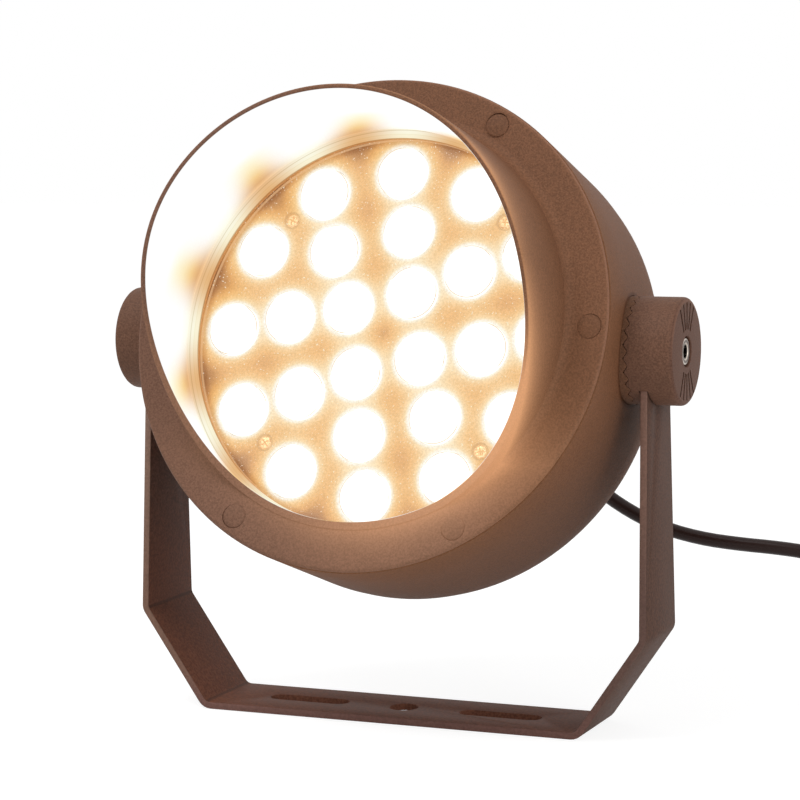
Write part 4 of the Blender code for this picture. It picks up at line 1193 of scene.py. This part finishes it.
def grip_grooves(side):
    """Cutters for the two fans of fine grooves in a knob's face."""
    grooves = []
    for fan in (0, 180):
        for n in range(-2, 3):
            groove = block((KNOB_OUT - GROOVE_DEPTH, -GROOVE_HALF, GROOVE_IN),
                           (KNOB_OUT + OVERRUN, GROOVE_HALF, GROOVE_OUT))
            upright = [e for e in groove.edges
                       if abs(e.verts[0].co.x - e.verts[1].co.x) > 1e-4]
            bevel(groove, upright, 0.0004, 3)
            groove.transform(Matrix.Rotation(radians(fan + GROOVE_STEP * n), 4, "X"))
            if side < 0:
                bmesh.ops.scale(groove, vec=(-1, 1, 1), verts=groove.verts)
            grooves.append(groove)
    return grooves


def make_knob(side, word):
    """Toothed knob with a slot for the arm, a recess for the bolt and grooves in its face."""
    face, hole = TEETH_AT + GAP / 2, BOLT_R + GAP
    axis = Vector((side, 0, 0))
    floor = BOLT_SEAT - GAP
    outline = [(face, hole), (face, KNOB_R), (face + 0.004, KNOB_R),
               *reversed(rounded(KNOB_OUT, KNOB_R, KNOB_EDGE, 5)), (KNOB_OUT, RECESS_R + GAP),
               (KNOB_OUT - GAP, RECESS_R), (floor, RECESS_R), (floor, hole)]
    bm = spun(outline, 144, axis, closed=True)
    toothed(bm, side, degrees(TILT), face)
    top = ARM_W / 2 + GAP
    inner, outer = ARM_TOP - STRIP_T - GAP, ARM_TOP + 2 * GAP
    low, high = sorted((side * inner, side * outer))
    slot = block((low, -top, -KNOB_R - OVERRUN), (high, top, 0))
    for v in slot.verts:
        if v.co.z < -KNOB_R:
            v.co.y *= 1.09
    cap = bar(top, inner, outer, axis=axis, steps=64)
    bm = boolean(bm, [slot, cap, join(*grip_grooves(side))])
    piece(bm, f"clamp_knob_{word}", "coat_knob", "cast_knob", "stand", f"knob_{word}", at=PIVOT)


def make_bolt(side, word):
    """Socket screw: rounded head, hexagon recess, plain shank."""
    axis = Vector((side, 0, 0))
    end, top = BOLT_SEAT - BOLT_L, BOLT_SEAT + BOLT_HEAD_T
    bm = spun([(end, BOLT_R - 0.0005), (end + 0.0005, BOLT_R), (BOLT_SEAT, BOLT_R),
               (BOLT_SEAT, BOLT_HEAD_R), *reversed(rounded(top, BOLT_HEAD_R, 0.0006)),
               (top, 0.0033), (top - 0.0003, 0.003)], 48, axis)
    bm = boolean(bm, [bar(SOCKET_R, top - SOCKET_DEPTH, top + OVERRUN, axis=axis, steps=6)])
    piece(bm, f"socket_bolt_{word}", "steel_bolt", "stainless", f"bolt_{word}",
          f"clamp_bolt_{word}", at=PIVOT)


for direction, word in ((-1, "left"), (1, "right")):
    make_hub(direction, word)
    make_knob(direction, word)
    make_bolt(direction, word)

# ---- Bracket


def make_bracket():
    """The strip with its edges taken off."""
    bm = bmesh.new()
    bm.from_mesh(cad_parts["bracket"].data)
    bmesh.ops.remove_doubles(bm, verts=bm.verts, dist=1e-6)
    bmesh.ops.dissolve_limit(bm, angle_limit=radians(0.5), verts=bm.verts, edges=bm.edges)
    sharp = [e for e in bm.edges if e.is_manifold and e.calc_face_angle() > radians(60)]
    bevel(bm, sharp, 0.00035, 2, clamp_overlap=True)
    piece(bm, "bracket_strip", "coat_strip", "steel_strip", "stand", "bracket", angle=40)


make_bracket()

# ---- Cable gland


def make_gland():
    """Gland body with its hexagon, screwed into the back, and the domed nut on its neck."""
    bore, rear = CORD_R + GAP, BACK - GAP
    flange = rear - GLAND_HEX_T
    neck = flange - GLAND_NECK_L
    shank = rear + GLAND_SHANK_L
    corner = GLAND_HEX / cos(pi / 6)
    clear, flat = corner + 0.0004, GLAND_HEX + 0.0002
    turn = Matrix.Rotation(pi / 6, 4, "Y")

    chamfer = spun([(flange, flat), (flange + HEX_CHAMFER, clear), (rear, clear)], 48)
    flats = boolean(bar(corner, rear, flange, steps=6), [chamfer], "INTERSECT")
    round_part = spun([(shank, GLAND_R), (rear - 0.001, GLAND_R), (flange + 0.001, GLAND_NECK_R),
                       (neck, GLAND_NECK_R)], 48)
    body = boolean(flats, [round_part], "UNION")
    body = boolean(body, [bar(bore, shank + OVERRUN, neck - OVERRUN, steps=40)])
    body.transform(turn)
    piece(body, "gland_fitting", "nylon", "black_nylon", "head", "gland_body")

    start = flange - GAP
    end = start - NUT_L
    dome = end + NUT_DOME
    cap = spun([
        (start, flat), (start - HEX_CHAMFER, clear), (dome + 0.0018, clear), (dome, GLAND_HEX),
        (end + 0.0012, 0.0074), (end + 0.0003, 0.0062), (end, 0.0055)], 48)
    nut = boolean(bar(corner, start, end, steps=6), [cap], "INTERSECT")
    nut = boolean(nut, [bar(bore, start + OVERRUN, end - OVERRUN, steps=40),
                        bar(GLAND_NECK_R + GAP, start + OVERRUN, neck - GAP, steps=40)])
    nut.transform(turn)
    piece(nut, "gland_cap", "nylon", "black_nylon", "head", "gland_nut")


make_gland()

# ---- Finishes of the part's own solids that stay

for name, finish in (("cover_gasket", "rubber"), ("led_board", "board"), ("driver", "potting"),
                     *((f"hood_screw_{k + 1}", "steel") for k in range(PLUG_COUNT))):
    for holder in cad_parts[name].material_slots:
        holder.material = FINISH[finish]

# ---- Floor, backdrop and light


def backdrop(tree, output, plain, bright, share=1.0):
    """Show a bright shader to the camera, reflections and clear parts, and a plain one to light."""
    tree.nodes.clear()
    nodes = Nodes(tree)
    kinds = ("Is Camera Ray", "Is Glossy Ray", "Is Transmission Ray")
    camera, glossy, clear = (nodes.node("ShaderNodeLightPath", output=kind) for kind in kinds)
    seen = nodes.above(nodes.above(camera, glossy), clear)
    plain, bright = (nodes.node(kind, None, sockets) for kind, sockets in (plain, bright))
    shown = nodes.node("ShaderNodeMixShader", None, {0: seen * share, 1: plain, 2: bright})
    nodes.node(output, None, {0: shown})


def make_stage():
    """White floor and world, with a plain level of light on the lamp and its soft shadow."""
    bm = bmesh.new()
    bmesh.ops.create_grid(bm, x_segments=1, y_segments=1, size=6)
    floor = linked("floor", to_mesh(bm, "floor"))
    floor.location = (0, 0, -0.0002)
    white = bpy.data.materials.new("floor_white")
    white.use_nodes = True
    backdrop(white.node_tree, "ShaderNodeOutputMaterial",
             ("ShaderNodeBsdfDiffuse", {"Color": (0.8, 0.8, 0.8, 1)}),
             ("ShaderNodeEmission", {"Strength": 1.3}), 0.65)
    floor.data.materials.append(white)

    world = bpy.data.worlds.new("studio")
    world.use_nodes = True
    backdrop(world.node_tree, "ShaderNodeOutputWorld",
             ("ShaderNodeBackground", {"Color": (*WHITE, 1), "Strength": 0.6}),
             ("ShaderNodeBackground", {"Color": (*WHITE, 1)}))
    bpy.context.scene.world = world


def make_lamp(name, place, power):
    """A round area lamp that is aimed at the middle of the spotlight."""
    data = bpy.data.lights.new(name, "AREA")
    data.shape = "DISK"
    data.size = 0.8
    data.energy = power
    lamp = linked(name, data)
    lamp.location = place
    aim = Vector((0, 0, 0.12)) - Vector(place)
    lamp.rotation_euler = aim.to_track_quat("-Z", "Y").to_euler()


make_stage()
make_lamp("key", (-0.55, -0.75, 1.75), 16)
make_lamp("fill", (1.3, -0.7, 0.7), 4.8)

bpy.context.scene.view_settings.view_transform = "Standard"
